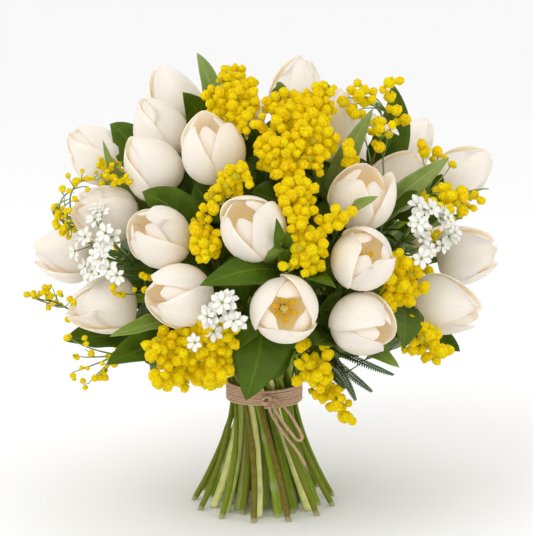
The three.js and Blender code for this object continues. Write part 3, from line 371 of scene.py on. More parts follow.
# Each bloom: middle of the head, turn to the viewer's right, rise above level, length, how open
# it is, spin about its own axis, and how much further its first petal flares.
TULIPS = np.array([
    [-144, 5, 304, -80, 42, 52, 0.28, 70, 0], [-79, 28, 350, -95, 66, 52, 0.2, 20, 0],
    [-88, -24, 327, -74, 62, 54, 0.15, 50, 0], [-92, -68, 301, -62, 52, 54, 0.18, 15, 0],
    [-42, -93, 319, -15, 54, 58, 0.5, -14, 0.25], [-130, -70, 263, -52, 18, 54, 0.35, 95, 0],
    [-84, -122, 254, -32, 30, 56, 0.4, 40, 0], [-171, 5, 218, -80, 10, 54, 0.3, -95, 0.3],
    [-131, -85, 190, -60, -3, 56, 0.25, 10, 0], [-68, -144, 209, -40, 8, 56, 0.5, 80, 0],
    [-11, -148, 265, -20, 32, 58, 0.45, -10, 0.15], [29, 35, 356, 100, 78, 52, 0.2, 30, 0],
    [60, -35, 331, 30, 72, 62, 0.05, 90, 0], [77, -103, 283, 18, 46, 56, 0.55, -25, 0.4],
    [77, -141, 239, 12, 24, 54, 0.5, 55, 0], [16, -162, 202, 3, 8, 50, 0.85, 30, 0],
    [79, -139, 185, 36, -4, 54, 0.5, 0, 0], [147, -70, 186, 62, -8, 58, 0.45, 25, 0],
    [174, 5, 217, 80, 12, 54, 0.45, -75, 0.35], [125, 38, 308, 95, 46, 52, 0.25, 15, 0],
    [113, -27, 286, 66, 48, 54, 0.25, 60, 0], [170, 14, 285, 85, 36, 54, 0.3, 35, 0],
    [-25, 85, 335, -165, 58, 54, 0.35, 0, 0], [-100, 88, 283, -130, 36, 54, 0.3, 45, 0],
    [75, 100, 295, 143, 38, 56, 0.45, 80, 0], [150, 88, 225, 120, 12, 54, 0.35, 25, 0],
    [-60, 150, 235, -158, 16, 54, 0.5, 60, 0], [40, 150, 240, 165, 18, 56, 0.4, 10, 0],
    [-118, 132, 182, -138, -4, 54, 0.4, 90, 0], [100, 142, 185, 145, -2, 54, 0.45, 35, 0],
])
HEAD, LENGTH, OPEN, SPIN, FLARE = (TULIPS[:, :3], TULIPS[:, 5], TULIPS[:, 6], TULIPS[:, 7], TULIPS[:, 8])
facing, rising = np.radians(TULIPS[:, 3]), np.radians(TULIPS[:, 4])
AXIS = np.stack([np.sin(facing) * np.cos(rising), -np.cos(facing) * np.cos(rising), np.sin(rising)], axis=1)
RIGHT = np.stack([np.cos(facing), np.sin(facing), 0 * facing], axis=1)
UP = np.stack([-np.sin(rising) * np.sin(facing), np.sin(rising) * np.cos(facing), np.cos(rising)], axis=1)
FOOT = HEAD - AXIS * LENGTH[:, None] / 2
BELLY = 23  # radius of a bloom at its widest
BLOOMS = len(HEAD)

# Two balls that fill each bloom, for keeping lines out of it
BULK_AT = np.concatenate([FOOT + AXIS * LENGTH[:, None] * share for share in (0.4, 0.75)])
BULK_RADIUS = np.concatenate([np.full(BLOOMS, BELLY + 1), BELLY * (0.75 + 0.45 * OPEN) + 1])
BULK_TULIP = np.tile(np.arange(BLOOMS), 2)

# Side lines: of the tulips' narrow leaves, the tulip that one grows on, how far up its stem, the
# place it passes, its tip, half its width and its roll
TULIP_LEAVES = np.array([
    [20, 0.55, 96, -58, 262, 148, -67, 307, 9, 0.2], [12, 0.6, 55, -62, 286, 86, -77, 347, 8, 0.3],
    [10, 0.6, 4, -128, 232, -1, -168, 273, 7.5, 0], [15, 0.6, 12, -130, 226, -48, -169, 222, 10, 0],
    [14, 0.6, 32, -128, 222, 54, -166, 220, 8, -0.3], [16, 0.55, 68, -96, 168, 103, -160, 157, 7.5, 0.2],
    [8, 0.6, -76, -104, 182, -118, -146, 178, 8, 0], [1, 0.7, -42, 4, 338, -56, 4, 387, 8, 0.4],
    [13, 0.65, 60, -116, 262, 85, -134, 287, 8, 0], [22, 0.6, -62, 70, 295, -78, 108, 338, 9, 0],
    [25, 0.6, 104, 88, 210, 120, 132, 232, 9, 0], [27, 0.55, -8, 118, 190, -14, 172, 192, 9, 0],
    [28, 0.55, -70, 96, 160, -78, 146, 142, 9, 0],
])
# Of the dark branches: the end of the main stem, and of each leaf the place that it passes, its
# tip, half its width and its roll
LEAFY = [
    ([-74, -6, 272], [[-104, -2, 296, -129, 0, 328, 13, 0.3], [-98, -46, 262, -127, -76, 322, 5.5, 0],
                      [-136, -30, 246, -151, -98, 278, 4.5, 0], [-104, 40, 262, -146, 62, 282, 12, 0],
                      [-44, -4, 304, -66, -38, 357, 13, 0]]),
    ([-34, -74, 168], [[-72, -100, 166, -121, -146, 156, 13, 0], [-4, -116, 178, -14, -140, 126, 23, 0],
                       [-8, -122, 190, -22, -148, 168, 9, 0], [-56, -92, 240, -95, -102, 284, 15, 0],
                       [-112, -60, 160, -160, -82, 160, 11, 0]]),
    ([62, -20, 262], [[100, -4, 296, 105, -36, 363, 13, 0], [52, -84, 250, 34, -124, 276, 12, 0],
                      [128, -30, 244, 156, -74, 262, 11, 0], [110, 60, 262, 150, 76, 270, 12, 0]]),
    ([66, -64, 172], [[106, -84, 190, 104, -142, 170, 13, 0], [52, -110, 172, 40, -156, 174, 10, 0],
                      [118, -44, 160, 160, -66, 148, 11, 0], [140, -20, 250, 180, -64, 282, 4.5, 0]]),
    ([-4, 84, 200], [[30, 112, 200, 42, 160, 190, 13, 0], [-2, 110, 268, -6, 142, 304, 13, 0],
                     [-46, 112, 182, -56, 158, 158, 13, 0], [84, 96, 208, 102, 134, 240, 12, 0],
                     [-104, 84, 212, -140, 118, 236, 12, 0]]),
]
# Of the mimosa: the end of each main twig, the tips of its side twigs, and the bare share of them
MIMOSA = [
    ([-16, -24, 312], [[-20, -82, 354], [-22, -52, 374], [-40, -64, 358]], 0.64),
    ([22, -28, 298], [[30, -82, 348], [46, -80, 360], [50, -102, 328], [6, -112, 318]], 0.64),
    ([22, -80, 262], [[22, -138, 290], [33, -160, 246]], 0.64),
    ([-30, -84, 262], [[-18, -136, 304], [-46, -148, 244]], 0.64),
    ([-104, -26, 254], [[-154, -102, 266], [-134, -30, 300], [-158, -44, 250]], 0.66),
    ([-44, -84, 158], [[-80, -150, 146], [-40, -134, 176], [-84, -150, 168], [-36, -146, 150]], 0.64),
    ([34, -76, 150], [[58, -136, 124], [44, -148, 144], [68, -112, 104], [110, -110, 222]], 0.64),
    ([88, -28, 296], [[102, -60, 366], [92, -84, 334], [64, -106, 318], [160, -78, 278]], 0.64),
    ([-92, -66, 180], [[-178, -100, 198], [-128, -130, 142], [-94, -116, 221]], 0.66),
    ([-6, 76, 252], [[-10, 128, 286], [24, 112, 312], [-52, 112, 290]], 0.64),
    ([24, 82, 168], [[-16, 150, 214], [70, 142, 214], [56, 138, 158]], 0.64),
]
# Of the white florets: the end of the main stem and the middle of each flower
STARS = [
    ([-112, -64, 226], [[-118, -114, 250], [-132, -104, 262], [-130, -110, 234], [-144, -92, 246],
                        [-120, -122, 226], [-138, -100, 218]]),
    ([112, -62, 240], [[122, -112, 257], [120, -104, 273], [138, -100, 262], [128, -114, 240],
                       [146, -90, 246], [92, -64, 330]]),
    ([-12, -100, 176], [[-26, -168, 212], [-40, -162, 200], [-26, -168, 196], [-38, -156, 184],
                        [-52, -158, 176]]),
]
# Of the fern: the end of its stem and the tips of its ribs
FERN = ([42, -72, 158], [[98, -164, 152], [82, -160, 138], [62, -150, 138]])
# The branches in the order of their numbers: mimosa from 0, leafy from 11, florets from 16, the fern 19
SPRAYS = [*MIMOSA, *LEAFY, *STARS, FERN]
FIRST_LEAFY, FIRST_STAR, FERN_AT = 11, 16, 19


def circle(count, radius, start):
    """Even seats on a circle: the radius times the cosine and sine of each angle."""
    angle = start + np.arange(count) * 2 * np.pi / count
    return np.stack([radius * np.cos(angle), radius * np.sin(angle)], axis=1)


def deal(ends, seats):
    """Seats for ends: both in order round the bunch, shifted so that the squares of the turns from
    the spiral sum up to the least."""
    whole = 2 * np.pi
    end_angle = (np.arctan2(ends[:, 1], ends[:, 0]) + 0.7) % whole
    seat_angle = np.arctan2(seats[:, 1], seats[:, 0]) % whole
    by_end, by_seat = np.argsort(end_angle, kind="stable"), np.argsort(seat_angle, kind="stable")
    shifted = [np.roll(by_seat, -shift) for shift in range(len(ends))]
    turns = np.abs(end_angle[by_end] - seat_angle[np.array(shifted)])
    best = shifted[int(np.argmin((np.minimum(turns, whole - turns) ** 2).sum(axis=1)))]
    dealt = np.empty(len(ends), int)
    dealt[by_end] = best
    return dealt


def strands(seats, ends, arriving, swing):
    """Middle lines of stems: below the waist the seat turned and spread with depth, above it a
    cubic curve from the seat to the end, where it arrives in the given direction."""
    h = TIE - TIE * np.arange(BELOW) / BELOW
    spread, swirl = 1 + SPLAY * h * h, SWIRL * h
    x, y = seats[:, :1], seats[:, 1:]
    z = np.broadcast_to(TIE - h, (len(seats), BELOW))
    under = np.stack([x * spread - y * swirl, y * spread + x * swirl, z], axis=-1)
    through = np.concatenate([seats, np.full((len(seats), 1), TIE)], axis=1)
    rise = unit(np.concatenate([y * SWIRL, -x * SWIRL, np.ones_like(x)], axis=1))
    t = np.linspace(0, 1, ABOVE + 1)[None, :, None]
    a, b, c, d = (v[:, None, :] for v in (through, through + 45 * rise, ends - swing * arriving, ends))
    over = a * (1 - t) ** 3 + 3 * b * t * (1 - t) ** 2 + 3 * c * t**2 * (1 - t) + d * t**3
    return np.concatenate([under, over], axis=1)


def arcs(start, by, end):
    """Side lines: the arcs from one point by way of a second to a third."""
    t = np.linspace(0, 1, SIDE + 1)[None, :, None]
    a, c = start[:, None, :], end[:, None, :]
    b = 2 * by[:, None, :] - 0.5 * (a + c)
    return a * (1 - t) ** 2 + 2 * b * t * (1 - t) + c * t**2


def settle(lines, width, node, tulip, pinned, still, rounds):
    """Bends lines clear of each other, of lines that stay and of the blooms: each round sums up the
    pushes on every point from what is nearer than their widths, moves it, and evens out the shift."""
    home, now = lines.copy(), lines.reshape(-1, 3).copy()
    steps = lines.shape[1]
    width, node, tulip = (np.repeat(v, steps) for v in (width, node, tulip))
    free = ~pinned.reshape(-1)
    still_at, still_width, still_node = still
    others_width, others_node = np.concatenate([width, still_width]), np.concatenate([node, still_node])
    share = np.concatenate([np.where(free, 0.5, 1.0), np.ones(len(still_at))])
    middle = np.zeros_like(lines[..., 0], bool)
    middle[:, 1:-1] = True
    loose = free & middle.reshape(-1)
    bulk_need = BULK_RADIUS + width[:, None]
    own = BULK_TULIP == tulip[:, None]
    for count in range(rounds):
        others = np.concatenate([now, still_at])
        if count % 10 == 0:
            apart = (now**2).sum(1)[:, None] + (others**2).sum(1) - 2 * now @ others.T
            need = width[:, None] + others_width + 0.7
            i, j = np.nonzero((apart < (need + 20) ** 2) & (node[:, None] != others_node) & free[:, None])
            need = need[i, j]
        gap = now[i] - others[j]
        far = np.linalg.norm(gap, axis=1)
        hit = (far < need) & (far > 0)
        push = gap[hit] * (((need - far) / np.maximum(far, 1e-9)) * share[j])[hit, None]
        moved = np.stack([np.bincount(i[hit], push[:, k], len(now)) for k in range(3)], axis=1) * 1.0
        gap = now[:, None] - BULK_AT
        far = np.linalg.norm(gap, axis=2)
        strength = np.where((far < bulk_need) & ~own, (bulk_need - far) / far, 0)
        moved += (gap * strength[..., None]).sum(axis=1)
        now[free] += 0.6 * moved[free]
        shift = (now - home.reshape(-1, 3)).reshape(lines.shape)
        even = shift.copy()
        even[:, 1:-1] = 0.7 * shift[:, 1:-1] + 0.15 * (shift[:, 2:] + shift[:, :-2])
        now[loose] = (home + even).reshape(-1, 3)[loose]
    return now.reshape(lines.shape)


# The seats at the waist: six bundles of five, six thin stems between them and the rest round them
bundle_turn = np.repeat(np.arange(BUNDLES) * np.pi / 3, EACH)
in_bundle = np.tile([[9.6, 0], [14.3, 3.75], [14.3, -3.75], [20.2, 3.75], [20.2, -3.75]], (BUNDLES, 1))
SEATS = np.stack([in_bundle[:, 0] * np.cos(bundle_turn) - in_bundle[:, 1] * np.sin(bundle_turn),
                  in_bundle[:, 0] * np.sin(bundle_turn) + in_bundle[:, 1] * np.cos(bundle_turn)], axis=1)
slope = (HEAD[:, 2] - HEART[2]) / np.hypot(HEAD[:, 0], HEAD[:, 1])
steepest = np.argsort(-slope, kind="stable")
seat_of = np.empty(BLOOMS, int)
for group, rank in [(steepest[:6], [0]), (steepest[6:18], [1, 2]), (steepest[18:], [3, 4])]:
    seats = np.flatnonzero(np.isin(np.arange(BLOOMS) % EACH, rank))
    seat_of[group] = seats[deal(FOOT[group], SEATS[seats])]
bundle = seat_of // EACH
tulip_lines = strands(SEATS[seat_of], FOOT - 0.45 * AXIS, AXIS, 38)

spray_end = np.array([spray[0] for spray in SPRAYS], float)
between = [0, 2, 7, 9, 11, 13]
rimmed = [n for n in range(len(SPRAYS)) if n != STURDY and n not in between]
spray_seat = np.zeros((len(SPRAYS), 2))
for group, seats in [(between, circle(6, 18.6, np.pi / 6)), (rimmed, circle(13, 26.7, 0.1))]:
    spray_seat[group] = seats[deal(spray_end[group], seats)]
leaving = unit(unit(spray_end - HEART) + [0, 0, 0.8])
spray_lines = strands(spray_seat, spray_end, leaving, 30)

mains = np.concatenate([tulip_lines, spray_lines])
main_node = np.concatenate([bundle, 10 + np.arange(len(SPRAYS))])
thin_width = np.where(np.arange(len(SPRAYS)) == STURDY, WOODY, TWIG)
main_width = np.concatenate([np.full(BLOOMS, STEM), thin_width])
main_tulip = np.concatenate([np.arange(BLOOMS), np.full(len(SPRAYS), -1)])
pinned = (mains[..., 2] > TIE - 22) & (mains[..., 2] < TIE + 10)
pinned[:, [0, -1]] = True
nothing = (np.zeros((0, 3)), np.zeros(0), np.zeros(0, int))
mains = settle(mains, main_width, main_node, main_tulip, pinned, nothing, 60)
tulip_lines, spray_lines = mains[:BLOOMS], mains[BLOOMS:]

# Side lines start on the settled stems
leaf_on = TULIP_LEAVES[:, 0].astype(int)
leaf_start = tulip_lines[leaf_on, BELOW + np.round(TULIP_LEAVES[:, 1] * ABOVE).astype(int)]
tulip_leaf_lines = arcs(leaf_start, TULIP_LEAVES[:, 2:5], TULIP_LEAVES[:, 5:8])


def bowed(start, tips, share):
    """Arcs whose middles stand further from the heart, by a share of their length."""
    middle = 0.5 * (start + tips)
    by = middle + unit(middle - HEART) * share * np.linalg.norm(tips - start, axis=1)[:, None]
    return arcs(start, by, tips)


# They leave the last part of each main stem at even steps
side_sets = []
for n, spray in enumerate(SPRAYS):
    table = np.array(spray[1], float)
    start = spray_lines[n, -1 - np.floor(np.arange(len(table)) * 10 / len(table) + 0.5).astype(int)]
    if FIRST_LEAFY <= n < FIRST_STAR:
        side_sets.append((n, arcs(start, table[:, :3], table[:, 3:6]), 1.5 + 0.4 * table[:, 6]))
    else:
        side_sets.append((n, bowed(start, table, 0.06), 1.5))
sides = np.concatenate([tulip_leaf_lines, *[lines for _, lines, _ in side_sets]])
side_node = np.concatenate([bundle[leaf_on], *[np.full(len(lines), 10 + n) for n, lines, _ in side_sets]])
side_width = np.concatenate([1.5 + 0.4 * TULIP_LEAVES[:, 8],
                             *[np.broadcast_to(wide, len(lines)) for _, lines, wide in side_sets]])
pinned = np.zeros(sides.shape[:2], bool)
pinned[:, [0, -1]] = True
points_each = BELOW + ABOVE + 1
still = (mains.reshape(-1, 3), np.repeat(main_width, points_each), np.repeat(main_node, points_each))
sides = settle(sides, side_width, side_node, np.full(len(sides), -1), pinned, still, 40)
tulip_leaf_lines, side_lines = sides[:len(leaf_on)], sides[len(leaf_on):]
of_spray = {n: side_lines[side_node[len(leaf_on):] == 10 + n] for n in range(len(SPRAYS))}


def guides(lines):
    """A direction square to the plane in which each line bends outward from the bunch."""
    out = lines[:, -1] * [1, 1, 0] + [1e-3, 0, 0]
    return np.broadcast_to(unit(np.cross([0, 0, 1], out))[:, None, :], lines.shape)


def stem_radii(lines, wide, narrow, seed, swelling):
    """Radii along stems: tapering evenly, with a small swelling at each of a few joints."""
    rng = np.random.default_rng(seed)
    t = np.linspace(0, 1, lines.shape[1])
    joints = rng.uniform(0.03, 0.8, (len(lines), 4))
    bumps = np.exp(-((t[None, :, None] - joints[:, None, :]) / 0.012) ** 2).sum(axis=2)
    return wide + (narrow - wide) * t[None, :] + swelling * bumps, bumps


def finer(lines, times):
    """Lines with more points: each step is cut into equal parts along a smooth curve through the
    points, a cubic whose slopes are half of the difference of the neighbours."""
    p = np.concatenate([2 * lines[:, :1] - lines[:, 1:2], lines, 2 * lines[:, -1:] - lines[:, -2:-1]], axis=1)
    p0, p1, p2, p3 = (p[:, None, k:len(p[0]) - 3 + k].swapaxes(1, 2) for k in range(4))
    t = (np.arange(times) / times)[None, None, :, None]
    m1, m2 = (p2 - p0) / 2, (p3 - p1) / 2
    cubic = (3 * (p2 - p1) - 2 * m1 - m2) * t**2 + (2 * (p1 - p2) + m1 + m2) * t**3
    fine = (p1 + m1 * t + cubic).reshape(len(lines), -1, 3)
    return np.concatenate([fine, lines[:, -1:]], axis=1)


def flat_cut(skin):
    """A skin of tubes whose first ring is brought level with the ground."""
    skin[0][:, 0, :, 2] = 0
    return skin


# Fine lines along a stem or a blade: stripes across it, broken by noise.
streaks, given, result = effect("streaks", {"Across": 0.0, "Count": 20.0, "Along": 0.0}, ["Mask"])
stripe = sum_up(streaks, "MULTIPLY", given.outputs["Across"], given.outputs["Count"])
stretched = sum_up(streaks, "MULTIPLY", given.outputs["Along"], 3.0)
place = add(streaks, "CombineXYZ", X=stripe, Y=stretched).outputs[0]
noise = add(streaks, "TexNoise", Vector=place, Scale=1.0, Detail=2.0).outputs[0]
feed(streaks, result, Mask=fade(streaks, noise, 0.3, 0.7))

stem_green, tree, shader = finish_named("tulip_stem", STEM_GREEN)
tone = mark(tree, "tone")
green = blend(tree, fade(tree, tone, 0.0, 0.5), STEM_DEEP, STEM_GREEN)
hue = patched(tree, 110.0, 0.3, blend(tree, fade(tree, tone, 0.5, 1.0), green, STEM_PALE), STEM_GREEN)
lines = use(tree, streaks, Across=mark(tree, "around"), Count=9.0, Along=mark(tree, "along"))
hue = blend(tree, lines, hue, STEM_PALE, most=0.12)
hue = blend(tree, mark(tree, "joint"), hue, JOINT_TAN, most=0.55)
hue = blend(tree, mark(tree, "cut"), hue, CUT_PALE)
feed(tree, shader, Base_Color=hue, Roughness=0.5, Specular_IOR_Level=0.08,
     Normal=relief(tree, lines, 0.25, 0.0005))

stem_tone = np.random.default_rng(3).permutation(np.linspace(0.1, 0.8, BLOOMS))
in_front = np.argsort(tulip_lines[:, 0, 1])
stem_tone[in_front[[0, 2, 5, 9]]] = 1.0
for k in range(BUNDLES):
    own = np.flatnonzero(bundle == k)
    fine = finer(tulip_lines[own], 3)
    radii, joint = stem_radii(fine, 3.7, 2.8, 20 + k, 0.6)
    height = np.linspace(0, 1, fine.shape[1])[:, None]
    tone = stem_tone[own][:, None, None] * (1 - 0.75 * np.clip(height - 0.3, 0, 1))
    stems = tubes(fine, radii[..., None], STEM_SIDES, guides(fine), along=height * 12, tone=tone,
                  joint=joint[..., None], cut=height == 0)
    make(f"stems_{k + 1}", [flat_cut(stems)], stem_green, [f"tulip_stems_{k + 1}"])

# The tulip blooms
# Six waxy ivory petals a bloom, in two whorls of three: thick and greenish at the foot, thin and
# softly waved at the edge, warm cream inside. They grow from the top of the stem.

PETAL_ROWS, PETAL_COLUMNS = 20, 13
ROOT = 3.4  # radius of the foot of a bloom
PETAL = 1.0  # thickness along the middle
IVORY, SHADE, CREAM = (0.935, 0.855, 0.745), (0.885, 0.79, 0.66), (0.90, 0.76, 0.56)
PEACH, HONEY, YOLK, LIME = (0.92, 0.81, 0.52), (0.84, 0.70, 0.44), (0.82, 0.63, 0.18), (0.68, 0.70, 0.34)
THROUGH = (0.15, 0.13, 0.10)  # what shines through on the outside


def vary(a, b):
    """A number from -1 to 1 that is the same each time for the same two numbers: a sine wave made
    so steep that only its last digits count."""
    wave = np.sin(a * 12.9898 + b * 78.233) * 43758.5453
    return (wave - np.floor(wave)) * 2 - 1


def petals(number, whorl):
    """The three petals of a whorl of one bloom. Along a petal runs a cubic curve of radius and
    height. Across it the petal is an arc, as round as the bloom at its belly and flatter above, whose
    width shrinks to the tip as the half width of an ellipse does. The edges wave a little, and one
    of them lies over the next petal."""
    petal = np.arange(3)[:, None, None]
    along = (1 - (1 - np.linspace(0, 1, PETAL_ROWS)) ** 1.9)[None, :, None]
    across = np.linspace(-1, 1, PETAL_COLUMNS)[None, None, :]
    chance = vary(petal + 3 * whorl, number + 40)
    lean = 0.07 * vary(number + 1, whorl * 3 + petal) + np.where(whorl + petal == 0, FLARE[number], 0)
    opened = OPEN[number] * (0.56 if whorl else 0.66) + lean
    reach = LENGTH[number] * (1 + 0.04 * vary(petal + 5, number)) * (1 - 0.14 * opened)
    reach = reach * (0.98 if whorl else 1)
    belly = BELLY * (0.88 if whorl else 1)
    radial = [ROOT, 1.5 * belly, (1.04 + 0.4 * opened) * belly, (0.14 + 0.78 * opened) * belly]
    upward = [1.6 * whorl, 0, 0.66 * reach, reach]
    weights = [(1 - along) ** 3, 3 * along * (1 - along) ** 2, 3 * along**2 * (1 - along), along**3]
    slopes = [-3 * (1 - along) ** 2, 3 * (1 - along) ** 2 - 6 * along * (1 - along),
              6 * along * (1 - along) - 3 * along**2, 3 * along**2]
    radius, height = (sum(w * v for w, v in zip(weights, values)) for values in (radial, upward))
    ahead = [sum(w * v for w, v in zip(slopes, values)) for values in (radial, upward)]
    steep = np.hypot(*ahead)
    outward, lengthwise = ahead[1] / steep, ahead[0] / steep
    edge = across**2
    above = np.clip((along - 0.4) / 0.6, 0, 1)
    taper = (1 - above**2.5) ** 0.56
    wave = 1.7 * edge * along**2 * taper * np.sin(along * 9 + across * 2.5 + 5 * chance)
    lap = (2.4 if whorl == 0 else 1.4) * across * along * taper
    groove = -1.1 * np.exp(-((across / 0.2) ** 2)) * along**1.5 * (1 - along) - 0.5 * edge * edge * along**3
    arc = radius + above**1.5 * np.maximum(0.5 * belly - radius, 0)
    swing = across * np.radians(66 if whorl == 0 else 62) * taper + 0.004 * across
    angle = np.radians(SPIN[number] + 60 * whorl + 120 * petal)
    middle = (np.cos(angle)[..., None] * RIGHT[number] + np.sin(angle)[..., None] * UP[number])
    sideways = (np.cos(angle)[..., None] * UP[number] - np.sin(angle)[..., None] * RIGHT[number])
    facing_out = ((outward * np.cos(swing))[..., None] * middle
                  + (outward * np.sin(swing))[..., None] * sideways) - lengthwise[..., None] * AXIS[number]
    sheet = (FOOT[number] + height[..., None] * AXIS[number] + (arc * np.sin(swing))[..., None] * sideways
             + (radius - arc * (1 - np.cos(swing)))[..., None] * middle
             + (wave + lap + groove)[..., None] * facing_out)
    thick = PETAL * (1 - 0.6 * edge) * (1 - 0.7 * along**8)
    points = np.stack([sheet, sheet - thick[..., None] * facing_out], axis=1)
    marks = {"along": along, "across": across, "inner": np.arange(2)[:, None, None]}
    return points, slab_faces(3, PETAL_ROWS, PETAL_COLUMNS), marks


def slab_faces(count, rows, columns):
    """The faces of closed blades whose corners are an upper sheet and then a lower one, row by row:
    both sheets, and a wall of faces between their edges."""
    size = rows * columns
    grid = np.arange(size).reshape(rows, columns)
    a = grid[:-1, :-1].reshape(-1)
    top = np.stack([a, a + 1, a + columns + 1, a + columns], axis=1)
    edge = np.concatenate([grid[0, :-1], grid[:-1, -1], grid[-1, :0:-1], grid[:0:-1, 0]])
    ahead = np.roll(edge, -1)
    wall = np.stack([ahead, edge, edge + size, ahead + size], axis=1)
    faces = np.concatenate([top, top[:, ::-1] + size, wall])
    return [(faces + 2 * size * np.arange(count)[:, None, None]).reshape(-1, 4)]


petal_ivory, tree, shader = finish_named("tulip_petal", IVORY)
along, across, inner = (mark(tree, title) for title in ("along", "across", "inner"))
veins = use(tree, streaks, Across=across, Count=13.0, Along=along)
outside = blend(tree, veins, patched(tree, 55.0, 0.3, IVORY, SHADE), CREAM, most=0.22)
outside = blend(tree, fade(tree, along, 0.5, 0.0), outside, CREAM, most=0.6)
outside = blend(tree, fade(tree, along, 0.16, 0.02), outside, LIME, most=0.7)
inside = blend(tree, fade(tree, along, 1.0, 0.5), IVORY, CREAM)
inside = blend(tree, fade(tree, along, 0.55, 0.25), inside, PEACH)
inside = blend(tree, fade(tree, along, 0.24, 0.05), inside, YOLK)
inside = blend(tree, veins, inside, HONEY, most=0.4)
# A little light of its own stands for the light that shines through so thin a petal
glow = blend(tree, inner, THROUGH, inside)
feed(tree, shader, Base_Color=blend(tree, inner, outside, inside), Roughness=0.5, Emission_Color=glow,
     Emission_Strength=0.16, Subsurface_Weight=0.6, Subsurface_Radius=(1.0, 0.85, 0.65),
     Subsurface_Scale=0.006, Normal=relief(tree, veins, 0.4, 0.0006))

for k in range(BLOOMS):
    whorls = [petals(k, 0), petals(k, 1)]
    make(f"bloom_{k + 1}", whorls, petal_ivory, [f"tulip_bloom_{k + 1}"])

# The hearts of the blooms
# In the middle of each open bloom stand a pale green pistil with a lobed top and six stamens: a thin
# filament with a long yellow anther, dusty with pollen. They grow from the foot of the bloom.

PISTIL = 17  # its height
HEART_STEPS = 12  # rings along a pistil or a stamen
POLLEN, POLLEN_DARK, PISTIL_GREEN = (0.94, 0.66, 0.05), (0.72, 0.42, 0.01), (0.80, 0.76, 0.28)
BLOOM_16 = 15  # its place in the list of blooms

pollen, tree, shader = finish_named("pollen", POLLEN)
dusty = patched(tree, 700.0, 0.8, POLLEN, POLLEN_DARK)
hue = blend(tree, mark(tree, "stalk"), dusty, PISTIL_GREEN)
dust = use(tree, fuzz, Scale=2200.0)
# The pistils and stamens glow faintly in the pollen's yellow: painted light that brightens them.
feed(tree, shader, Base_Color=hue, Roughness=0.85, Emission_Color=full(POLLEN), Emission_Strength=0.1,
     Normal=relief(tree, dust, 0.6, 0.0004))


def hearts(numbers):
    """Pistils and stamens: tubes from the foot of each bloom. A pistil's radius swells at its top
    in three lobes; a stamen leans out by a sixth of a turn each, and its radius steps up from the
    filament to the anther."""
    foot, axis, right, up = FOOT[numbers], AXIS[numbers], RIGHT[numbers], UP[numbers]
    rise = np.linspace(0.05, 1, HEART_STEPS)
    column = foot[:, None] + axis[:, None] * (rise * PISTIL)[:, None]
    lobe = 0.28 * np.cos(3 * np.arange(STEM_SIDES) * 2 * np.pi / STEM_SIDES)
    lobes = 1 + lobe * (rise > 0.8)[None, :, None]
    waist = np.interp(rise, [0, 0.2, 0.6, 0.8, 0.9, 1], [1.9, 2.7, 2.4, 2.1, 3.0, 1.2])
    pistils = tubes(column, waist[None, :, None] * lobes, STEM_SIDES, right[:, None], stalk=1.0)
    angle = (np.arange(6) * np.pi / 3)[None, :, None] + SPIN[numbers][:, None, None]
    out = np.cos(angle) * right[:, None] + np.sin(angle) * up[:, None]
    t = np.linspace(0, 1, HEART_STEPS)[None, None, :, None]
    lines = (foot[:, None, None] + out[:, :, None] * (2.9 + 7.0 * t**1.3)
             + axis[:, None, None] * (2 + PISTIL * (0.98 + 0.05 * np.sin(3 * angle[..., None])) * t))
    thick = np.interp(t[0, 0, :, 0], [0, 0.38, 0.44, 0.6, 0.9, 1], [0.9, 0.8, 2.0, 2.6, 2.1, 0.8])
    across = np.cross(out, axis[:, None])[:, :, None]
    stamens = tubes(lines, thick[None, None, :, None], 6, across, stalk=t < 0.41)
    return [pistils, stamens]


wide_open = np.flatnonzero((OPEN > 0.26) & (np.arange(BLOOMS) != BLOOM_16))
make("heart_of_bloom_16", hearts(np.array([BLOOM_16])), pollen, ["tulip_heart_16"])
make("hearts_of_blooms", hearts(wide_open), pollen)

# The tulip leaves
# Long narrow leaves that grow from the tulips' stems: fleshy, grey green with a bloom of wax, folded
# along the middle, with veins that all run lengthwise.

STALK = 0.36  # the share of a leaf's line that is its stalk
WIDEST = 0.45  # the share of a blade where it is widest
LEAF_GREY, LEAF_FRESH, LEAF_RIM = (0.29, 0.36, 0.13), (0.16, 0.25, 0.02), (0.42, 0.48, 0.18)
GREY_LEAVES = [0, 1, 5, 6, 7, 8, 9, 10, 11, 12]  # the narrow ones of the side lines
FRESHNESS = np.array([0.2, 0.2, 0.6, 0.7, 0.0, 0.3, 0.4, 0.4, 0.5, 0.6])  # and how fresh each one is


def on_lines(lines, shares):
    """The points at these shares of the lines, straight between their own points."""
    k = shares * (lines.shape[1] - 1)
    low = np.minimum(k.astype(int), lines.shape[1] - 2)
    return lines[:, low] + (lines[:, low + 1] - lines[:, low]) * (k - low)[None, :, None]


def face_of(lines):
    """Where each leaf's upper face looks: away from the heart of the bunch, or upwards and out
    where the leaf itself points away."""
    at = on_lines(lines, np.array([0.68]))[:, 0]
    ahead = unit(lines[:, 14] - lines[:, 13])
    out = unit(at - HEART)
    back = np.where(at[:, 1] < 60, -1.0, 1.0)[:, None]
    lift = np.where(ahead[:, 2:] > 0.6, back * [0, 1, 0] + [0, 0, 0.2], back * [0, 0.6, 0] + [0, 0, 0.8])
    share = (ahead * out).sum(axis=1, keepdims=True) ** 2
    return unit(out + (lift - out) * share)


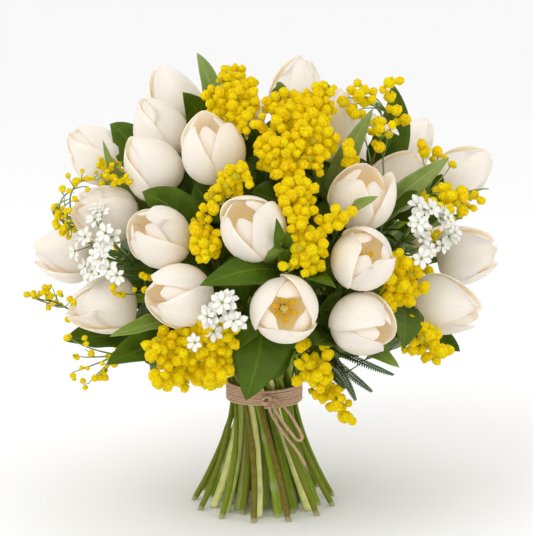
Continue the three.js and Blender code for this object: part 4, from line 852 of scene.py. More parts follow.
def leaves(lines, half, roll, widest, fold, ripple, seed, rows=26, columns=9, tone=None):
    """Leaves on lines: at each share of a line the blade is as wide as a half sine wave skewed to
    its widest place. Across, it rises in a soft V; its edges ripple; a thinner stalk leads in."""
    rng = np.random.default_rng(seed)
    along = np.linspace(0, 1, rows)
    place = on_lines(lines, along)
    ahead = unit(np.gradient(place, axis=1))
    side = unit(np.cross(ahead, face_of(lines)[:, None]))
    roll = roll[:, None, None]
    side = side * np.cos(roll) + np.cross(ahead, side) * np.sin(roll)
    up = unit(np.cross(side, ahead))
    share = np.clip((along - STALK) / (1 - STALK), 0, 1)
    widest = np.broadcast_to(widest, len(lines))
    bend = share[None, :] ** (math.log(0.5) / np.log(widest))[:, None]
    width = half[:, None] * np.abs(np.sin(np.pi * bend)) ** 0.8 + 1.0 * (1 - share**3) + 0.12
    s = np.linspace(-1, 1, columns)
    ripples = rng.uniform(1.5, 3, (len(lines), 1, 1))
    start = rng.uniform(0, 6, (len(lines), 1, 1))
    wave = np.sin(share[None, :, None] * ripples * 2 * np.pi + start + 1.3 * s)
    wave = wave * s**2 * np.sin(np.pi * bend)[..., None]
    lift = width[..., None] * (fold * (np.sqrt(s**2 + 0.02) - 0.14) + ripple * wave)
    thick = 0.4 * (1 - 0.6 * s**2)
    flat = place[:, :, None] + side[:, :, None] * (s * width[..., None])[..., None]
    points = np.stack([flat + up[:, :, None] * (lift + way * thick)[..., None] for way in (1, -1)], axis=1)
    tone = rng.uniform(0, 1, len(lines)) if tone is None else tone
    return points, slab_faces(len(lines), rows, columns), {
        "along": share[:, None], "across": s, "inner": np.arange(2)[:, None, None],
        "tone": np.reshape(tone, (-1, 1, 1, 1))}


tulip_leaf, tree, shader = finish_named("tulip_leaf", LEAF_GREY)
across = mark(tree, "across")
ribs = use(tree, streaks, Across=across, Count=11.0, Along=mark(tree, "along"))
waxed = blend(tree, mark(tree, "tone"), LEAF_GREY, LEAF_FRESH)
hue = blend(tree, ribs, patched(tree, 70.0, 0.7, waxed, LEAF_FRESH), LEAF_FRESH, most=0.35)
hue = blend(tree, fade(tree, size_of(tree, across), 0.10, 0.0), hue, LEAF_RIM, most=0.5)
hue = blend(tree, fade(tree, size_of(tree, across), 0.86, 1.0), hue, LEAF_RIM, most=0.6)
feed(tree, shader, Base_Color=hue, Roughness=0.5, Specular_IOR_Level=0.25,
     Normal=relief(tree, ribs, 0.4, 0.0004))


def off_the_petals(lines, room):
    """The lines, moved out of the blooms' two balls and this much room round them, and evened out
    along their length; their first quarter stays."""
    moved = lines.copy()
    free = np.clip((np.arange(SIDE + 1) / SIDE - 0.25) / 0.2, 0, 1)[None, :, None]
    for _ in range(6):
        gap = moved[:, :, None] - BULK_AT
        far = np.linalg.norm(gap, axis=3)
        push = np.where(far < BULK_RADIUS + room, (BULK_RADIUS + room - far) / far, 0)
        moved += free * (gap * push[..., None]).sum(axis=2) * 0.7
        moved[:, 1:-1] += 0.3 * free[:, 1:-1] * (0.5 * (moved[:, 2:] + moved[:, :-2]) - moved[:, 1:-1])
    return moved


tulip_leaf_lines = off_the_petals(tulip_leaf_lines, 6)
grey = leaves(tulip_leaf_lines[GREY_LEAVES], TULIP_LEAVES[GREY_LEAVES, 8], TULIP_LEAVES[GREY_LEAVES, 9],
              WIDEST, 0.34, 0.10, 9, tone=FRESHNESS)
# Two more stand by bloom 12, on its stem
top_lines = arcs(np.repeat(tulip_lines[11:12, -12], 2, axis=0), np.array([[14, 6, 338], [44, 0, 336]]),
                 np.array([[10, -6, 362], [53, -20, 362]]))
by_bloom_12 = leaves(top_lines, np.full(2, 7.0), np.zeros(2), WIDEST, 0.34, 0.10, 8, tone=0)
make("tulip_leaves", [grey, by_bloom_12], tulip_leaf)

# The leafy branches
# Five thin branches with broad dark leaves, leathery and glossy above and paler below, with a pale
# midrib and curved side veins. Their stems are held by the twine, and most of their leaves sit
# between the blooms and close the bunch.

DARK_LEAF, DEEP_LEAF, YOUNG_LEAF = (0.078, 0.136, 0.004), (0.032, 0.068, 0.002), (0.085, 0.15, 0.012)
PALE_VEIN, UNDERSIDE = (0.14, 0.215, 0.018), (0.15, 0.22, 0.03)
BARK, BARK_GREEN, BARK_BROWN = (0.2, 0.2, 0.07), (0.16, 0.25, 0.012), (0.17, 0.11, 0.018)
BARK_FLECK, CUT_WOOD = (0.26, 0.25, 0.04), (0.6, 0.55, 0.33)
GOLDEN = 2.39996  # a turn in radians that spreads points evenly, as the seeds of a sunflower are

# Midrib and side veins: a line where the leaf's middle is, and lines at even steps along the leaf
# that run forward as they go out.
netted, given, result = effect("netted_veins", {"Along": 0.0, "Across": 0.0, "Pairs": 8.0}, ["Mask"])
out = size_of(netted, given.outputs["Across"])
forward = sum_up(netted, "SUBTRACT", given.outputs["Along"], sum_up(netted, "MULTIPLY", out, 0.16))
phase = sum_up(netted, "FRACT", sum_up(netted, "MULTIPLY", forward, given.outputs["Pairs"]), 0.0)
side_vein = fade(netted, size_of(netted, sum_up(netted, "SUBTRACT", phase, 0.5)), 0.09, 0.0)
weaker = sum_up(netted, "MULTIPLY", side_vein, fade(netted, out, 1.05, 0.2))
midrib = fade(netted, out, 0.085, 0.02)
feed(netted, result, Mask=sum_up(netted, "MAXIMUM", sum_up(netted, "MULTIPLY", weaker, 0.5), midrib))

dark_leaf, tree, shader = finish_named("dark_leaf", DARK_LEAF)
veins = use(tree, netted, Along=mark(tree, "along"), Across=mark(tree, "across"), Pairs=8.0)
above = patched(tree, 60.0, 0.8, DARK_LEAF, DEEP_LEAF)
above = blend(tree, mark(tree, "tone"), above, YOUNG_LEAF, most=0.35)
above = blend(tree, veins, above, PALE_VEIN, most=0.6)
below = blend(tree, veins, UNDERSIDE, PALE_VEIN, most=0.4)
feed(tree, shader, Base_Color=blend(tree, mark(tree, "inner"), above, below), Roughness=0.42,
     Specular_IOR_Level=0.14, Normal=relief(tree, veins, 0.5, 0.0006))

thin_stem, tree, shader = finish_named("thin_stem", BARK)
bark = blend(tree, mark(tree, "tone"), BARK_GREEN, BARK_BROWN)
hue = blend(tree, mark(tree, "cut"), patched(tree, 240.0, 0.4, bark, BARK_FLECK), CUT_WOOD)
feed(tree, shader, Base_Color=hue, Roughness=0.6, Specular_IOR_Level=0.12)


def thin_stems(lines, tone, seed, wide=1.7, narrow=1.1):
    """Thin stems from the ground up: a little thicker there, even to the waist, then tapering, with
    small joints."""
    fine = finer(lines, 2)
    radii, _ = stem_radii(fine, wide, wide, seed, 0.55)
    t = np.linspace(0, 1, fine.shape[1])
    taper = np.clip((t - 0.3) / 0.7, 0, 1)
    radii = radii - (wide - narrow) * taper + 0.9 * np.clip((0.28 - t) / 0.2, 0, 1)
    ground = (t == 0)[:, None]
    return flat_cut(tubes(fine, radii[..., None], THIN_SIDES, guides(fine), tone=tone, cut=ground))


def twigs(lines, wide, narrow, sides, tone):
    """Side twigs and stalks: tubes that taper evenly to their ends."""
    t = np.linspace(0, 1, lines.shape[1])
    return tubes(lines, (wide + (narrow - wide) * t)[None, :, None], sides, guides(lines), tone=tone)


narrow_blades = []
for n, (_, table) in enumerate(LEAFY):
    table = np.array(table, float)
    lines = off_the_petals(of_spray[FIRST_LEAFY + n], 5)
    half, roll = table[:, 6], table[:, 7]
    widest = np.where(half > 20, 0.42, WIDEST)
    broad, narrow = half > 6, half < 6
    widened = half[broad] * np.where(half[broad] > 20, 1.05, 1.25)
    dark = leaves(lines[broad], widened, roll[broad], widest[broad], 0.2, 0.07, 30 + n)
    make(f"dark_leaves_{n + 1}", [dark], dark_leaf, [f"leafy_branch_{n + 1}"])
    if narrow.any():
        hanging = lines[narrow] + [0, -5, 0] * np.linspace(0, 1, SIDE + 1)[None, :, None]
        narrow_blades.append(leaves(hanging, half[narrow], roll[narrow], WIDEST, 0.3, 0.07, 35 + n,
                                    tone=np.full(narrow.sum(), 0.4)))
make("narrow_leaves", narrow_blades, tulip_leaf)

# Single broad leaves: three of the side lines, one beside bloom 11 and four between blooms
beside = arcs(tulip_lines[10:11, BELOW + 20], np.array([[16, -132, 226]]), np.array([[17, -160, 262]]))
behind = arcs(spray_lines[[11, 13, 13, 15], -6],
              np.array([[-10, -14, 296], [118, -20, 262], [96, -60, 262], [14, 62, 282]]),
              np.array([[-12, -30, 332], [146, -34, 290], [122, -84, 282], [22, 46, 328]]))
broad_lines = np.concatenate([tulip_leaf_lines[2:5], off_the_petals(beside, 4), off_the_petals(behind, 3)])
broad_half = np.array([8.5, 14.5, 9.6, 7.0, 13, 12, 11, 16])
broad_roll = np.array([0, 0, -0.3, 0.3, 0, 0, 0, 0.9])
broad_leaves = leaves(broad_lines, broad_half, broad_roll, WIDEST, 0.2, 0.07, 29)
make("broad_leaves", [broad_leaves], dark_leaf)
leafy_stems = thin_stems(spray_lines[FIRST_LEAFY:FIRST_STAR], 0.35, 40)
make("leafy_stems", [leafy_stems], thin_stem)


def outside_blooms(spots, room):
    """Which points keep this much room from every bloom's two balls."""
    far = np.linalg.norm(spots[:, None] - BULK_AT, axis=2)
    return (far > BULK_RADIUS + room).all(axis=1)


def on_dome(level, turned):
    """Places on a ball of radius one: at each level, from 1 at the top down, its own circle's radius
    times the cosine and sine of how far round the place is turned."""
    out = np.sqrt(1 - level**2)
    return np.stack([out * np.cos(turned), out * np.sin(turned), level], axis=1)


# The leaves deeper in, on twigs of the same branches: their middles lie at even steps round two
# smaller domes, and each points part outwards and part along its dome
OUTER_LEAVES, DEEPER_LEAVES = 130, 90
rng = np.random.default_rng(50)
outer, within = np.arange(OUTER_LEAVES) + 0.5, np.arange(DEEPER_LEAVES) + 0.5
level = 1 - 1.45 * np.concatenate([outer / OUTER_LEAVES, within / DEEPER_LEAVES])
inner_dome = on_dome(level, GOLDEN * np.concatenate([outer - 0.3, within + 1.1]))
shell = np.repeat([1.0, 0.84], [OUTER_LEAVES, DEEPER_LEAVES])[:, None]
along_dome = unit(np.cross(inner_dome, rng.normal(size=inner_dome.shape)) + [0, 0, 0.5])
points_to = unit(0.5 * inner_dome + 0.9 * along_dome)
middle = HEART + inner_dome * [112, 108, 116] * shell
inner_tip, inner_base = middle + 30 * points_to, middle - 34 * points_to
deep = outside_blooms(inner_tip, -3) & outside_blooms(middle, -6)
inner_tip, inner_base = inner_tip[deep], inner_base[deep]
trunks = spray_lines[FIRST_LEAFY:FIRST_STAR, BELOW + 14:].reshape(-1, 3)
join_at = trunks[np.argmin(np.linalg.norm(inner_base[:, None] - trunks, axis=2), axis=1)]
bulge = 0.5 * (inner_base + inner_tip)
inner_lines = arcs(inner_base, bulge + 5 * unit(bulge - HEART), inner_tip)
inner_half = rng.uniform(12, 18, len(inner_lines))
inner_roll = rng.uniform(-0.4, 0.4, len(inner_lines))
inner_leaves = leaves(inner_lines, inner_half, inner_roll, WIDEST, 0.18, 0.08, 51, rows=14, columns=5)
make("inner_leaves", [inner_leaves], dark_leaf)
inner_twigs = twigs(arcs(join_at, 0.5 * (join_at + inner_base), inner_base), 1.1, 0.9, 5, 0.4)
make("inner_twigs", [inner_twigs], thin_stem)

# The white florets
# Three sprays of small six-petalled white flowers with a greenish eye, in clusters on thin green
# stalks, with a few needle leaves below them. Their stems are held by the twine.

FLORET = 8.2  # length of a petal
NEEDLES = 12  # in a spray
FLORET_WHITE, FLORET_EYE, FLORET_CREASE_SHADE = (0.84, 0.83, 0.77), (0.62, 0.64, 0.26), (0.72, 0.70, 0.58)
FRESH, FRESH_LIGHT = (0.2, 0.3, 0.07), (0.22, 0.33, 0.08)
FRESH_DARK, FRESH_EDGE = (0.10, 0.19, 0.04), (0.34, 0.42, 0.14)


def blades(root, ahead, up, long, wide, widest=0.5, cup=0.0, droop=0.0, thick=0.5, rows=5, columns=3):
    """Small blades: length times the way ahead, width times a skewed half sine wave sideways, the
    edges lifted by the square of the way out and the tip lowered by the square of the way along."""
    t = np.linspace(0, 1, rows)[None, :, None]
    s = np.linspace(-1, 1, columns)[None, None, :]
    side = unit(np.cross(ahead, up))
    shape = np.abs(np.sin(np.pi * t ** (math.log(0.5) / math.log(widest)))) ** 0.7 * 0.94 + 0.06
    long, wide = (np.broadcast_to(v, len(root))[:, None, None] for v in (long, wide))
    lift = cup * wide * s**2 * shape - droop * long * t**2
    flat = (root[:, None, None] + ahead[:, None, None] * (long * t + 0 * s)[..., None]
            + side[:, None, None] * (wide * shape * s)[..., None])
    halves = [flat + up[:, None, None] * (lift + way * thick / 2)[..., None] for way in (1, -1)]
    return np.stack(halves, axis=1), slab_faces(len(root), rows, columns), {"along": t, "across": s}


def florets(at, looking, radius, seed):
    """Florets: six narrow rounded petals at even turns round the way that each looks, each tilted
    a little more or less out of the floret's own plane."""
    rng = np.random.default_rng(seed)
    first = unit(np.cross(looking, rng.normal(size=looking.shape)))
    second = np.cross(looking, first)
    angle = (np.arange(6) * np.pi / 3)[None, :, None] + 0.12 * rng.normal(size=(len(at), 6, 1))
    rise = 0.34 + 0.16 * rng.normal(size=(len(at), 6, 1))
    ahead = unit(first[:, None] * np.cos(angle) + second[:, None] * np.sin(angle) + rise * looking[:, None])
    up = unit(looking[:, None] - ahead * (ahead * looking[:, None]).sum(axis=-1, keepdims=True))
    root = (at[:, None] + ahead * 0.5).reshape(-1, 3)
    size = (radius * rng.uniform(0.8, 1.1, (len(at), 1)) * rng.uniform(0.9, 1.1, (len(at), 6))).reshape(-1)
    return blades(root, ahead.reshape(-1, 3), up.reshape(-1, 3), size, 0.31 * size, widest=0.64, cup=0.35,
                  droop=0.16, thick=0.5, rows=6, columns=5)


BALL_RINGS = np.sin(np.radians([58, 30, 0, -30, -58]))  # heights of the rings of a ball's corners
BALL_SIDES = 8
BALL_CORNERS = 2 + len(BALL_RINGS) * BALL_SIDES


def balls(at, radius, ruffled, seed, **marks):
    """Round balls: each corner at the radius in its own direction, on five staggered rings of eight
    and two poles, moved in or out a little so that the outline is uneven."""
    rng = np.random.default_rng(seed)
    angle = (np.arange(BALL_SIDES) + 0.5 * np.arange(len(BALL_RINGS))[:, None]) * 2 * np.pi / BALL_SIDES
    flat = np.sqrt(1 - BALL_RINGS**2)[:, None]
    high = np.broadcast_to(BALL_RINGS[:, None], angle.shape)
    rings = np.stack([flat * np.cos(angle), flat * np.sin(angle), high], axis=-1)
    corner = np.concatenate([[[0, 0, 1.0]], rings.reshape(-1, 3), [[0, 0, -1.0]]])
    size = np.broadcast_to(radius, len(at))[:, None]
    size = size * (1 + ruffled * rng.uniform(-1, 1, (len(at), BALL_CORNERS)))
    tilt = unit(rng.normal(size=(len(at), 2, 3)))
    first = tilt[:, 0]
    second = unit(np.cross(first, tilt[:, 1]))
    turned = np.stack([first, second, np.cross(first, second)], axis=1)
    points = at[:, None] + size[..., None] * np.einsum("ck,nkd->ncd", corner, turned)
    a = np.arange(BALL_SIDES)
    b = (a + 1) % BALL_SIDES
    top = np.stack([0 * a, 1 + a, 1 + b], axis=1)
    bottom = np.stack([0 * a + 41, 33 + b, 33 + a], axis=1)
    between = [np.stack([x, y, z], axis=1) for k in (1, 9, 17, 25)
               for x, y, z in ((k + a, k + 8 + a, k + b), (k + b, k + 8 + a, k + 8 + b))]
    faces = np.concatenate([top, *between, bottom]) + BALL_CORNERS * np.arange(len(at))[:, None, None]
    return points, [faces.reshape(-1, 3)], {title: values[:, None] for title, values in marks.items()}


floret_white, tree, shader = finish_named("floret", FLORET_WHITE)
along, across = mark(tree, "along"), mark(tree, "across")
white = blend(tree, fade(tree, along, 0.3, 0.0), FLORET_WHITE, FLORET_EYE)
# Painted shade: darker streaks along each petal where its creases would be shaded.
crease_shade = use(tree, streaks, Across=across, Count=4.0, Along=along)
feed(tree, shader, Base_Color=blend(tree, crease_shade, white, FLORET_CREASE_SHADE, most=0.4), Roughness=0.6)
fresh_green, tree, shader = finish_named("fresh_green", FRESH)
mixed = patched(tree, 120.0, 0.8, FRESH_LIGHT, FRESH_DARK)
edge = fade(tree, size_of(tree, mark(tree, "across")), 0.0, 0.9)
feed(tree, shader, Base_Color=blend(tree, edge, mixed, FRESH_EDGE, most=0.35), Roughness=0.45)

for n in range(3):
    rng = np.random.default_rng(60 + n)
    lines = of_spray[FIRST_STAR + n]
    tip, ahead = lines[:, -1], unit(lines[:, -1] - lines[:, -3])
    outward = unit(tip - HEART)
    # Beside the floret at each tip stand two more, on stalks that fork from the same side twig
    away = unit(rng.normal(size=(len(tip), 2, 3)) + 0.8 * ahead[:, None])
    away -= np.minimum((away * outward[:, None]).sum(-1, keepdims=True), 0) * outward[:, None]
    forked = slice(3 if n == 2 else 6)
    from_tip = (tip - 3 * ahead)[forked, None]
    more = (from_tip + unit(away[forked]) * rng.uniform(7, 12, (len(from_tip), 2, 1))).reshape(-1, 3)
    starts = np.repeat(lines[forked, 15], 2, axis=0)
    t = np.linspace(0, 1, 7)[None, :, None]
    stalks = starts[:, None] * (1 - t) + more[:, None] * t + 1.5 * t * (1 - t) * unit(starts - HEART)[:, None]
    look = unit(np.concatenate([ahead + 0.5 * outward, unit(more - starts) + unit(more - HEART)]))
    spot = np.concatenate([tip, more])
    flowers = florets(spot, look, FLORET, 70 + n)
    make(f"florets_{n + 1}", [flowers], floret_white, [f"star_flowers_{n + 1}"])
    eyes = balls(spot + look * 0.9, 0.8, 0.05, 80 + n)
    needle_at = spray_lines[FIRST_STAR + n][-1 - rng.integers(0, 7, NEEDLES)]
    needle_to = unit(unit(needle_at - HEART) + 0.75 * rng.normal(size=(NEEDLES, 3)))
    needle_up = unit(np.cross(needle_to, rng.normal(size=(NEEDLES, 3))))
    needles = blades(needle_at, needle_to, needle_up, rng.uniform(16, 26, NEEDLES), 1.7, cup=0.5,
                     droop=0.1, thick=0.9)
    greens = [twigs(lines, 1.0, 0.6, 6, 0.0), twigs(stalks, 0.5, 0.4, 5, 0.0), eyes, needles]
    make(f"floret_stalks_{n + 1}", greens, fresh_green)
make("floret_stems", [thin_stems(spray_lines[FIRST_STAR:FERN_AT], 0.1, 41)], thin_stem)

# The fern
# One stem of fern low on the right with four fronds: a thin rib each, and narrow leaflets in pairs
# that get shorter towards the tip. The twine holds the stem.

FERN_GREEN, FERN_PALE, FERN_FLECK = (0.035, 0.075, 0.02), (0.16, 0.22, 0.10), (0.08, 0.14, 0.035)
PAIRS = 24  # leaflets on each side of a rib

rib_start = spray_lines[FERN_AT, -1][None]
fourth_tip = np.array([[70, -155, 130]])
fourth = arcs(rib_start, 0.5 * (rib_start + fourth_tip) + [[2, -6, 2]], fourth_tip)
rib_lines = np.concatenate([of_spray[FERN_AT], fourth])
at = np.linspace(0.3, 0.985, PAIRS)
rib_at = on_lines(rib_lines, at)
rib_ahead = unit(np.gradient(rib_at, axis=1))
rib_side = unit(np.cross(rib_ahead, face_of(rib_lines)[:, None]))
rib_up = unit(np.cross(rib_side, rib_ahead))
way = np.array([-1, 1])[:, None]
to = unit(rib_side[:, :, None] * way + 1.1 * rib_ahead[:, :, None] + 0.25 * rib_up[:, :, None])
long = np.broadcast_to((5.2 * (1 - ((at - 0.3) / 0.7) ** 2.4) + 1.6)[None, :, None], to.shape[:-1])
from_rib, leaf_up = (np.broadcast_to(v[:, :, None], to.shape).reshape(-1, 3) for v in (rib_at, rib_up))
leaflets = blades(from_rib, to.reshape(-1, 3), leaf_up, long.reshape(-1), 0.8, widest=0.35, cup=0.2,
                  droop=0.12, thick=0.4)

fern_green, tree, shader = finish_named("fern_green", FERN_GREEN)
mottled = patched(tree, 260.0, 0.9, FERN_GREEN, FERN_FLECK)
hue = blend(tree, fade(tree, mark(tree, "along"), 0.6, 1.0), mottled, FERN_PALE, most=0.4)
feed(tree, shader, Base_Color=hue, Roughness=0.5)
make("fern_fronds", [leaflets, twigs(rib_lines, 0.9, 0.4, 6, 0.0)], fern_green, ["fern_stem"])
make("fern_stalk", [thin_stems(spray_lines[FERN_AT:], 0.0, 42, narrow=1.0)], thin_stem)

# The mimosa
# Eleven woody twigs with side twigs, and on their outer parts short stalks crowded with round fluffy
# flower balls: lemon or golden yellow at random, greenish where still closed, with painted shade in
# the pits of their fuzz, a painted highlight on its tips and a faint painted glow.
# The twine holds their stems.

GOLD, LEMON, SUNLIT = (1.0, 0.68, 0.0005), (1.0, 0.80, 0.001), (1.0, 0.85, 0.004)
AMBER_PIT_SHADE, OLIVE = (0.62, 0.37, 0.0005), (0.45, 0.42, 0.02)
NEXT_STALK = 2.4  # the turn round a twig from one stalk to the next, in radians
# How each branch is grown: how crowded its stalks are, their greatest length, and a ball's radius
GROWTH = [(1.3, 9.0, 4.1), (1.2, 10.5, 4.4), (1.0, 9.0, 4.5), (1.0, 9.0, 4.2), (1.35, 7.0, 2.6),
          (1.1, 10.0, 4.5), (0.7, 8.0, 4.4), (0.38, 7.0, 4.5), (0.5, 8.5, 2.7), (0.9, 10.0, 4.1),
          (0.9, 10.0, 4.1)]

mimosa_yellow, tree, shader = finish_named("mimosa_ball", GOLD)
fluff = use(tree, fuzz, Scale=620.0)
hue = blend(tree, mark(tree, "bud"), blend(tree, mark(tree, "tone"), GOLD, LEMON), OLIVE)
# Painted shade: the pits of the fuzz are darkened towards amber.
hue = blend(tree, fade(tree, fluff, 0.50, 0.38), hue, AMBER_PIT_SHADE, most=0.75)
# Painted highlight: the tips of the fuzz are lightened towards a sunlit yellow.
hue = blend(tree, fade(tree, fluff, 0.5, 0.66), hue, SUNLIT, most=0.6)
# The balls glow a little in their own colour: painted light.
feed(tree, shader, Base_Color=hue, Roughness=0.9, Specular_IOR_Level=0.15, Emission_Color=hue,
     Emission_Strength=0.15, Normal=relief(tree, fluff, 1.0, 0.0032))


def plume(line, bare, rng, crowd, longest):
    """The flower balls of one side twig, and the stalks that carry them: stalks leave the twig at
    nearly even steps, each further round it, and one ball sits along each stalk and one at its end."""
    run = np.concatenate([[0], np.cumsum(np.linalg.norm(np.diff(line, axis=0), axis=1))])
    step = 1.6 * 4.6 / crowd
    stalks = 1 + int((run[-1] * (1 - bare * 0.9) / step) ** (1 / 0.85))
    at = run[-1] - step * np.arange(stalks) ** 0.85
    before, start, after = (np.stack([np.interp(at + way, run, line[:, k]) for k in range(3)], axis=1)
                            for way in (-1, 0, 1))
    ahead = unit(after - before + 1e-9)
    angle = NEXT_STALK * np.arange(stalks) + rng.uniform(0, 6)
    first = unit(np.cross(ahead, [0.3, 0.2, 1]))
    second = np.cross(ahead, first)
    out = first * np.cos(angle)[:, None] + second * np.sin(angle)[:, None]
    away = unit(out + 0.75 * ahead + 0.3 * unit(start - HEART))
    reach = np.minimum(4.0 + 0.3 * (run[-1] - at), longest) * rng.uniform(0.6, 1.35, stalks)
    end = start + away * reach[:, None]
    share = np.array([0.45, 1.0])
    spot = start[:, None] + (end - start)[:, None] * share[None, :, None]
    spot = (spot + rng.normal(size=spot.shape) * 1.5).reshape(-1, 3)
    t = np.linspace(0, 1, 4)[None, :, None]
    return spot, start[:, None] * (1 - t) + end[:, None] * t


# More side twigs than the solids have, by the place of their tips: those in front as the photograph
# shows them, by the number of their branch
MORE_TIPS = {
    0: [[-29, -62, 370], [-15, -60, 365], [-33, -72, 355], [-9, -80, 354], [-30, -84, 337], [-14, -96, 336],
        [-22, -66, 359]],
    1: [[5, -80, 351], [21, -76, 355], [36, -78, 354], [49, -78, 346], [-2, -96, 335], [14, -100, 337],
        [28, -102, 335], [42, -98, 332], [6, -112, 321], [22, -116, 318], [36, -112, 316], [14, -128, 304],
        [29, -128, 301], [42, -116, 306], [22, -92, 345], [34, -90, 344], [9, -122, 311], [25, -110, 327]],
    2: [[62, -150, 272], [21, -142, 286], [32, -146, 274], [26, -152, 260], [38, -152, 251],
        [30, -156, 238], [18, -158, 230], [41, -150, 237], [44, -140, 263], [20, -148, 273], [34, -132, 289]],
    3: [[-18, -136, 299], [-29, -132, 294], [-40, -128, 286], [-46, -130, 273], [-50, -132, 260],
        [-49, -136, 247], [-38, -142, 251], [-24, -142, 289], [-35, -140, 276]],
    4: [[-107, -72, 307], [-117, -78, 301], [-128, -84, 293], [-137, -88, 284], [-146, -92, 275],
        [-156, -90, 265], [-164, -70, 268], [-110, -88, 295]],
    5: [[-78, -122, 160], [-65, -134, 176], [-52, -142, 187], [-40, -148, 185], [-31, -146, 174],
        [-71, -118, 147], [-57, -132, 159], [-45, -142, 166], [-35, -138, 154], [-61, -116, 135],
        [-50, -128, 144], [-41, -124, 137], [-75, -128, 173], [-27, -152, 187], [-65, -138, 166],
        [-52, -146, 175]],
    6: [[28, -140, 166], [37, -134, 155], [45, -128, 143], [43, -120, 128], [54, -116, 123],
        [48, -140, 163], [33, -128, 144], [107, -120, 231], [117, -112, 222], [109, -122, 213],
        [101, -122, 240], [123, -108, 209], [133, -104, 168], [142, -98, 156], [137, -96, 146],
        [112, -118, 201]],
    7: [[78, -56, 360], [86, -58, 354], [70, -60, 349], [76, -62, 345], [80, -56, 352], [66, -58, 354],
        [74, -66, 356], [100, -84, 330], [139, -84, 281], [146, -86, 278], [151, -84, 275], [157, -80, 270],
        [163, -74, 269], [172, -56, 275], [133, -88, 274], [148, -90, 268], [117, -8, 330],
        [126, -54, 309], [141, -44, 304], [151, -46, 297]],
    8: [[-185, -100, 201], [-173, -104, 205], [-162, -108, 205], [-152, -116, 170], [-147, -118, 156],
        [-151, -114, 142], [-138, -118, 134], [-130, -120, 141], [-122, -122, 151], [-118, -118, 207],
        [-155, -112, 195]],
}


def forks(lines, tips):
    """More side twigs: each leaves the nearest point of the lines that is some way off and runs to
    its tip in a low outward arc."""
    points = lines.reshape(-1, 3)
    far = np.linalg.norm(tips[:, None] - points, axis=2)
    start = points[np.argmin(np.where(far < 26, far + 300, far), axis=1)]
    return bowed(start, tips, 0.1)


def clear_of_blooms(lines):
    """The lines, bent out of the blooms."""
    held = np.zeros(lines.shape[:2], bool)
    held[:, [0, -1]] = True
    alike = np.zeros(len(lines), int)
    return settle(lines, np.full(len(lines), 1.2), alike, alike - 1, held, nothing, 30)


def spread_out(spots, need, rounds=14):
    """Points pushed apart until they are about as far from each other as they need to be: half of
    the missing distance each, along the line between them."""
    spots = spots.copy()
    for _ in range(rounds):
        gap = spots[:, None] - spots
        far = np.linalg.norm(gap, axis=2)
        push = np.where((far < need) & (far > 0), (need - far) / np.maximum(far, 1e-6) * 0.5, 0)
        spots += 0.7 * (gap * push[..., None]).sum(axis=1)
    return spots


# On the sides and the back the tips lie at even steps round the bunch, where no bloom is
DOME_TIPS = 170
level = 1 - 1.4 * (np.arange(DOME_TIPS) + 0.5) / DOME_TIPS
dome = on_dome(level, GOLDEN * np.arange(DOME_TIPS))
dome_tips = HEART + dome * [163, 156, 172]
dome_tips = dome_tips[(dome[:, 1] > 0.12) & outside_blooms(dome_tips, 5)]
mimosa_ends = np.array([end for end, _, _ in MIMOSA])
nearest = np.argmin(np.linalg.norm(dome_tips[:, None] - mimosa_ends, axis=2), axis=1)

leaf_points = np.concatenate([
    tulip_leaf_lines[:, 8:], off_the_petals(of_spray[FIRST_LEAFY], 5)[1:3, 8:],
    off_the_petals(of_spray[FIRST_LEAFY + 2], 5)[:, 8:], top_lines[:, 8:]]).reshape(-1, 3)
stalk_lines, fork_lines = [], []
for n, (_, _, bare) in enumerate(MIMOSA):
    rng = np.random.default_rng(100 + n)
    tips = np.array(MORE_TIPS.get(n, []) + dome_tips[nearest == n].tolist(), float).reshape(-1, 3)
    trunk = np.concatenate([of_spray[n][:, 3:13].reshape(-1, 3), spray_lines[n][BELOW + 16:]])
    more = clear_of_blooms(forks(trunk, tips))
    crowd, longest, ball = GROWTH[n]
    plumes = [plume(line, bare, rng, 1.25 * crowd, 1.25 * longest) for line in of_spray[n]]
    plumes += [plume(line, 0.55, rng, crowd, longest) for line in more]
    spots, stalks = (np.concatenate(v) for v in zip(*plumes))
    spots = spread_out(spots, 1.75 * ball)
    from_leaves = np.linalg.norm(spots[:, None] - leaf_points, axis=2).min(axis=1)
    spots = spots[outside_blooms(spots, 2.5) & (from_leaves > 4.5)]
    stalks = stalks[outside_blooms(stalks[:, -1], 0.5)]
    size = ball * rng.uniform(0.7, 1.15, len(spots))
    bud = (rng.random(len(spots)) < 0.05) * 0.8
    tone = rng.uniform(0, 1, len(spots))
    flowers = balls(spots, size * (1 - 0.35 * bud), 0.17, 120 + n, bud=bud, tone=tone)
    make(f"mimosa_balls_{n + 1}", [flowers], mimosa_yellow, [f"mimosa_{n + 1}"])
    stalk_lines.append(stalks)
    fork_lines.append(more)

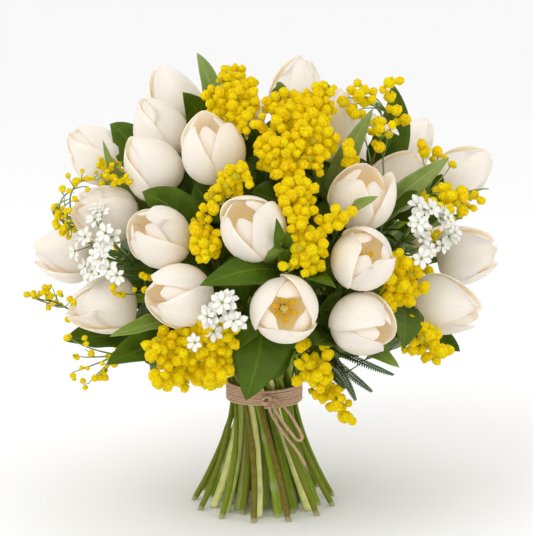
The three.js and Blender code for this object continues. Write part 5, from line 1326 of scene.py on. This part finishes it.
woody = thin_stems(spray_lines[STURDY:STURDY + 1], 0.8, 43, wide=WOODY - 0.5, narrow=1.5)
slender_tone = np.array([0.1, 0.9, 0.2, 0.35, 1.0, 0.0, 0.25, 0.9, 0.15, 0.3])[:, None, None]
slender = thin_stems(spray_lines[[0, *range(2, FIRST_LEAFY)]], slender_tone, 44)
side_twigs = [twigs(of_spray[n], 1.0, 0.5, 6, 0.7) for n in range(FIRST_LEAFY)]
make("mimosa_twigs", [woody, slender, *side_twigs], thin_stem)
fine_twigs = [twigs(np.concatenate(fork_lines), 0.8, 0.4, 5, 0.6),
              twigs(np.concatenate(stalk_lines), 0.45, 0.3, 4, 0.45)]
make("mimosa_stalks", fine_twigs, fresh_green)

# The floor and the light
# A plain pale floor that fills the view, one large soft light from the upper left and a weaker one
# from the right.

FLOOR = 60  # half its width, in metres
FLOOR_PALE, LIGHT_WHITE = (0.97, 0.97, 0.97), (1, 1, 1, 1)
ALL_ROUND = 0.97  # strength of the light from all sides
# Each light: its name, its place and its width in metres, and its power in watts
LIGHTS = [("key", (-1.2, -1.6, 1.9), 1.6, 19), ("fill", (1.7, -1.0, 1.0), 1.6, 4)]

floor_mesh = bpy.data.meshes.new("floor")
corners = [(-FLOOR, -FLOOR, 0), (FLOOR, -FLOOR, 0), (FLOOR, FLOOR, 0), (-FLOOR, FLOOR, 0)]
floor_mesh.from_pydata(corners, [], [(0, 1, 2, 3)])
floor = bpy.data.objects.new("floor", floor_mesh)
bpy.context.scene.collection.objects.link(floor)
pale, tree, shader = finish_named("pale_floor", FLOOR_PALE)
feed(tree, shader, Base_Color=full(FLOOR_PALE), Roughness=1.0)
floor_mesh.materials.append(pale)

world = bpy.data.worlds.new("studio")
bpy.context.scene.world = world
world.use_nodes = True
world.node_tree.nodes["Background"].inputs["Color"].default_value = LIGHT_WHITE
world.node_tree.nodes["Background"].inputs["Strength"].default_value = ALL_ROUND
for name, place, wide, power in LIGHTS:
    light = bpy.data.objects.new(name, bpy.data.lights.new(name, "AREA"))
    bpy.context.scene.collection.objects.link(light)
    light.data.size = wide
    light.data.energy = power
    light.location = place
    x, y, z = np.array(place) - [0, 0, 0.2]
    light.rotation_euler = (math.atan2(math.hypot(x, y), z), 0, math.atan2(x, -y))
bpy.context.scene.view_settings.view_transform = "Standard"
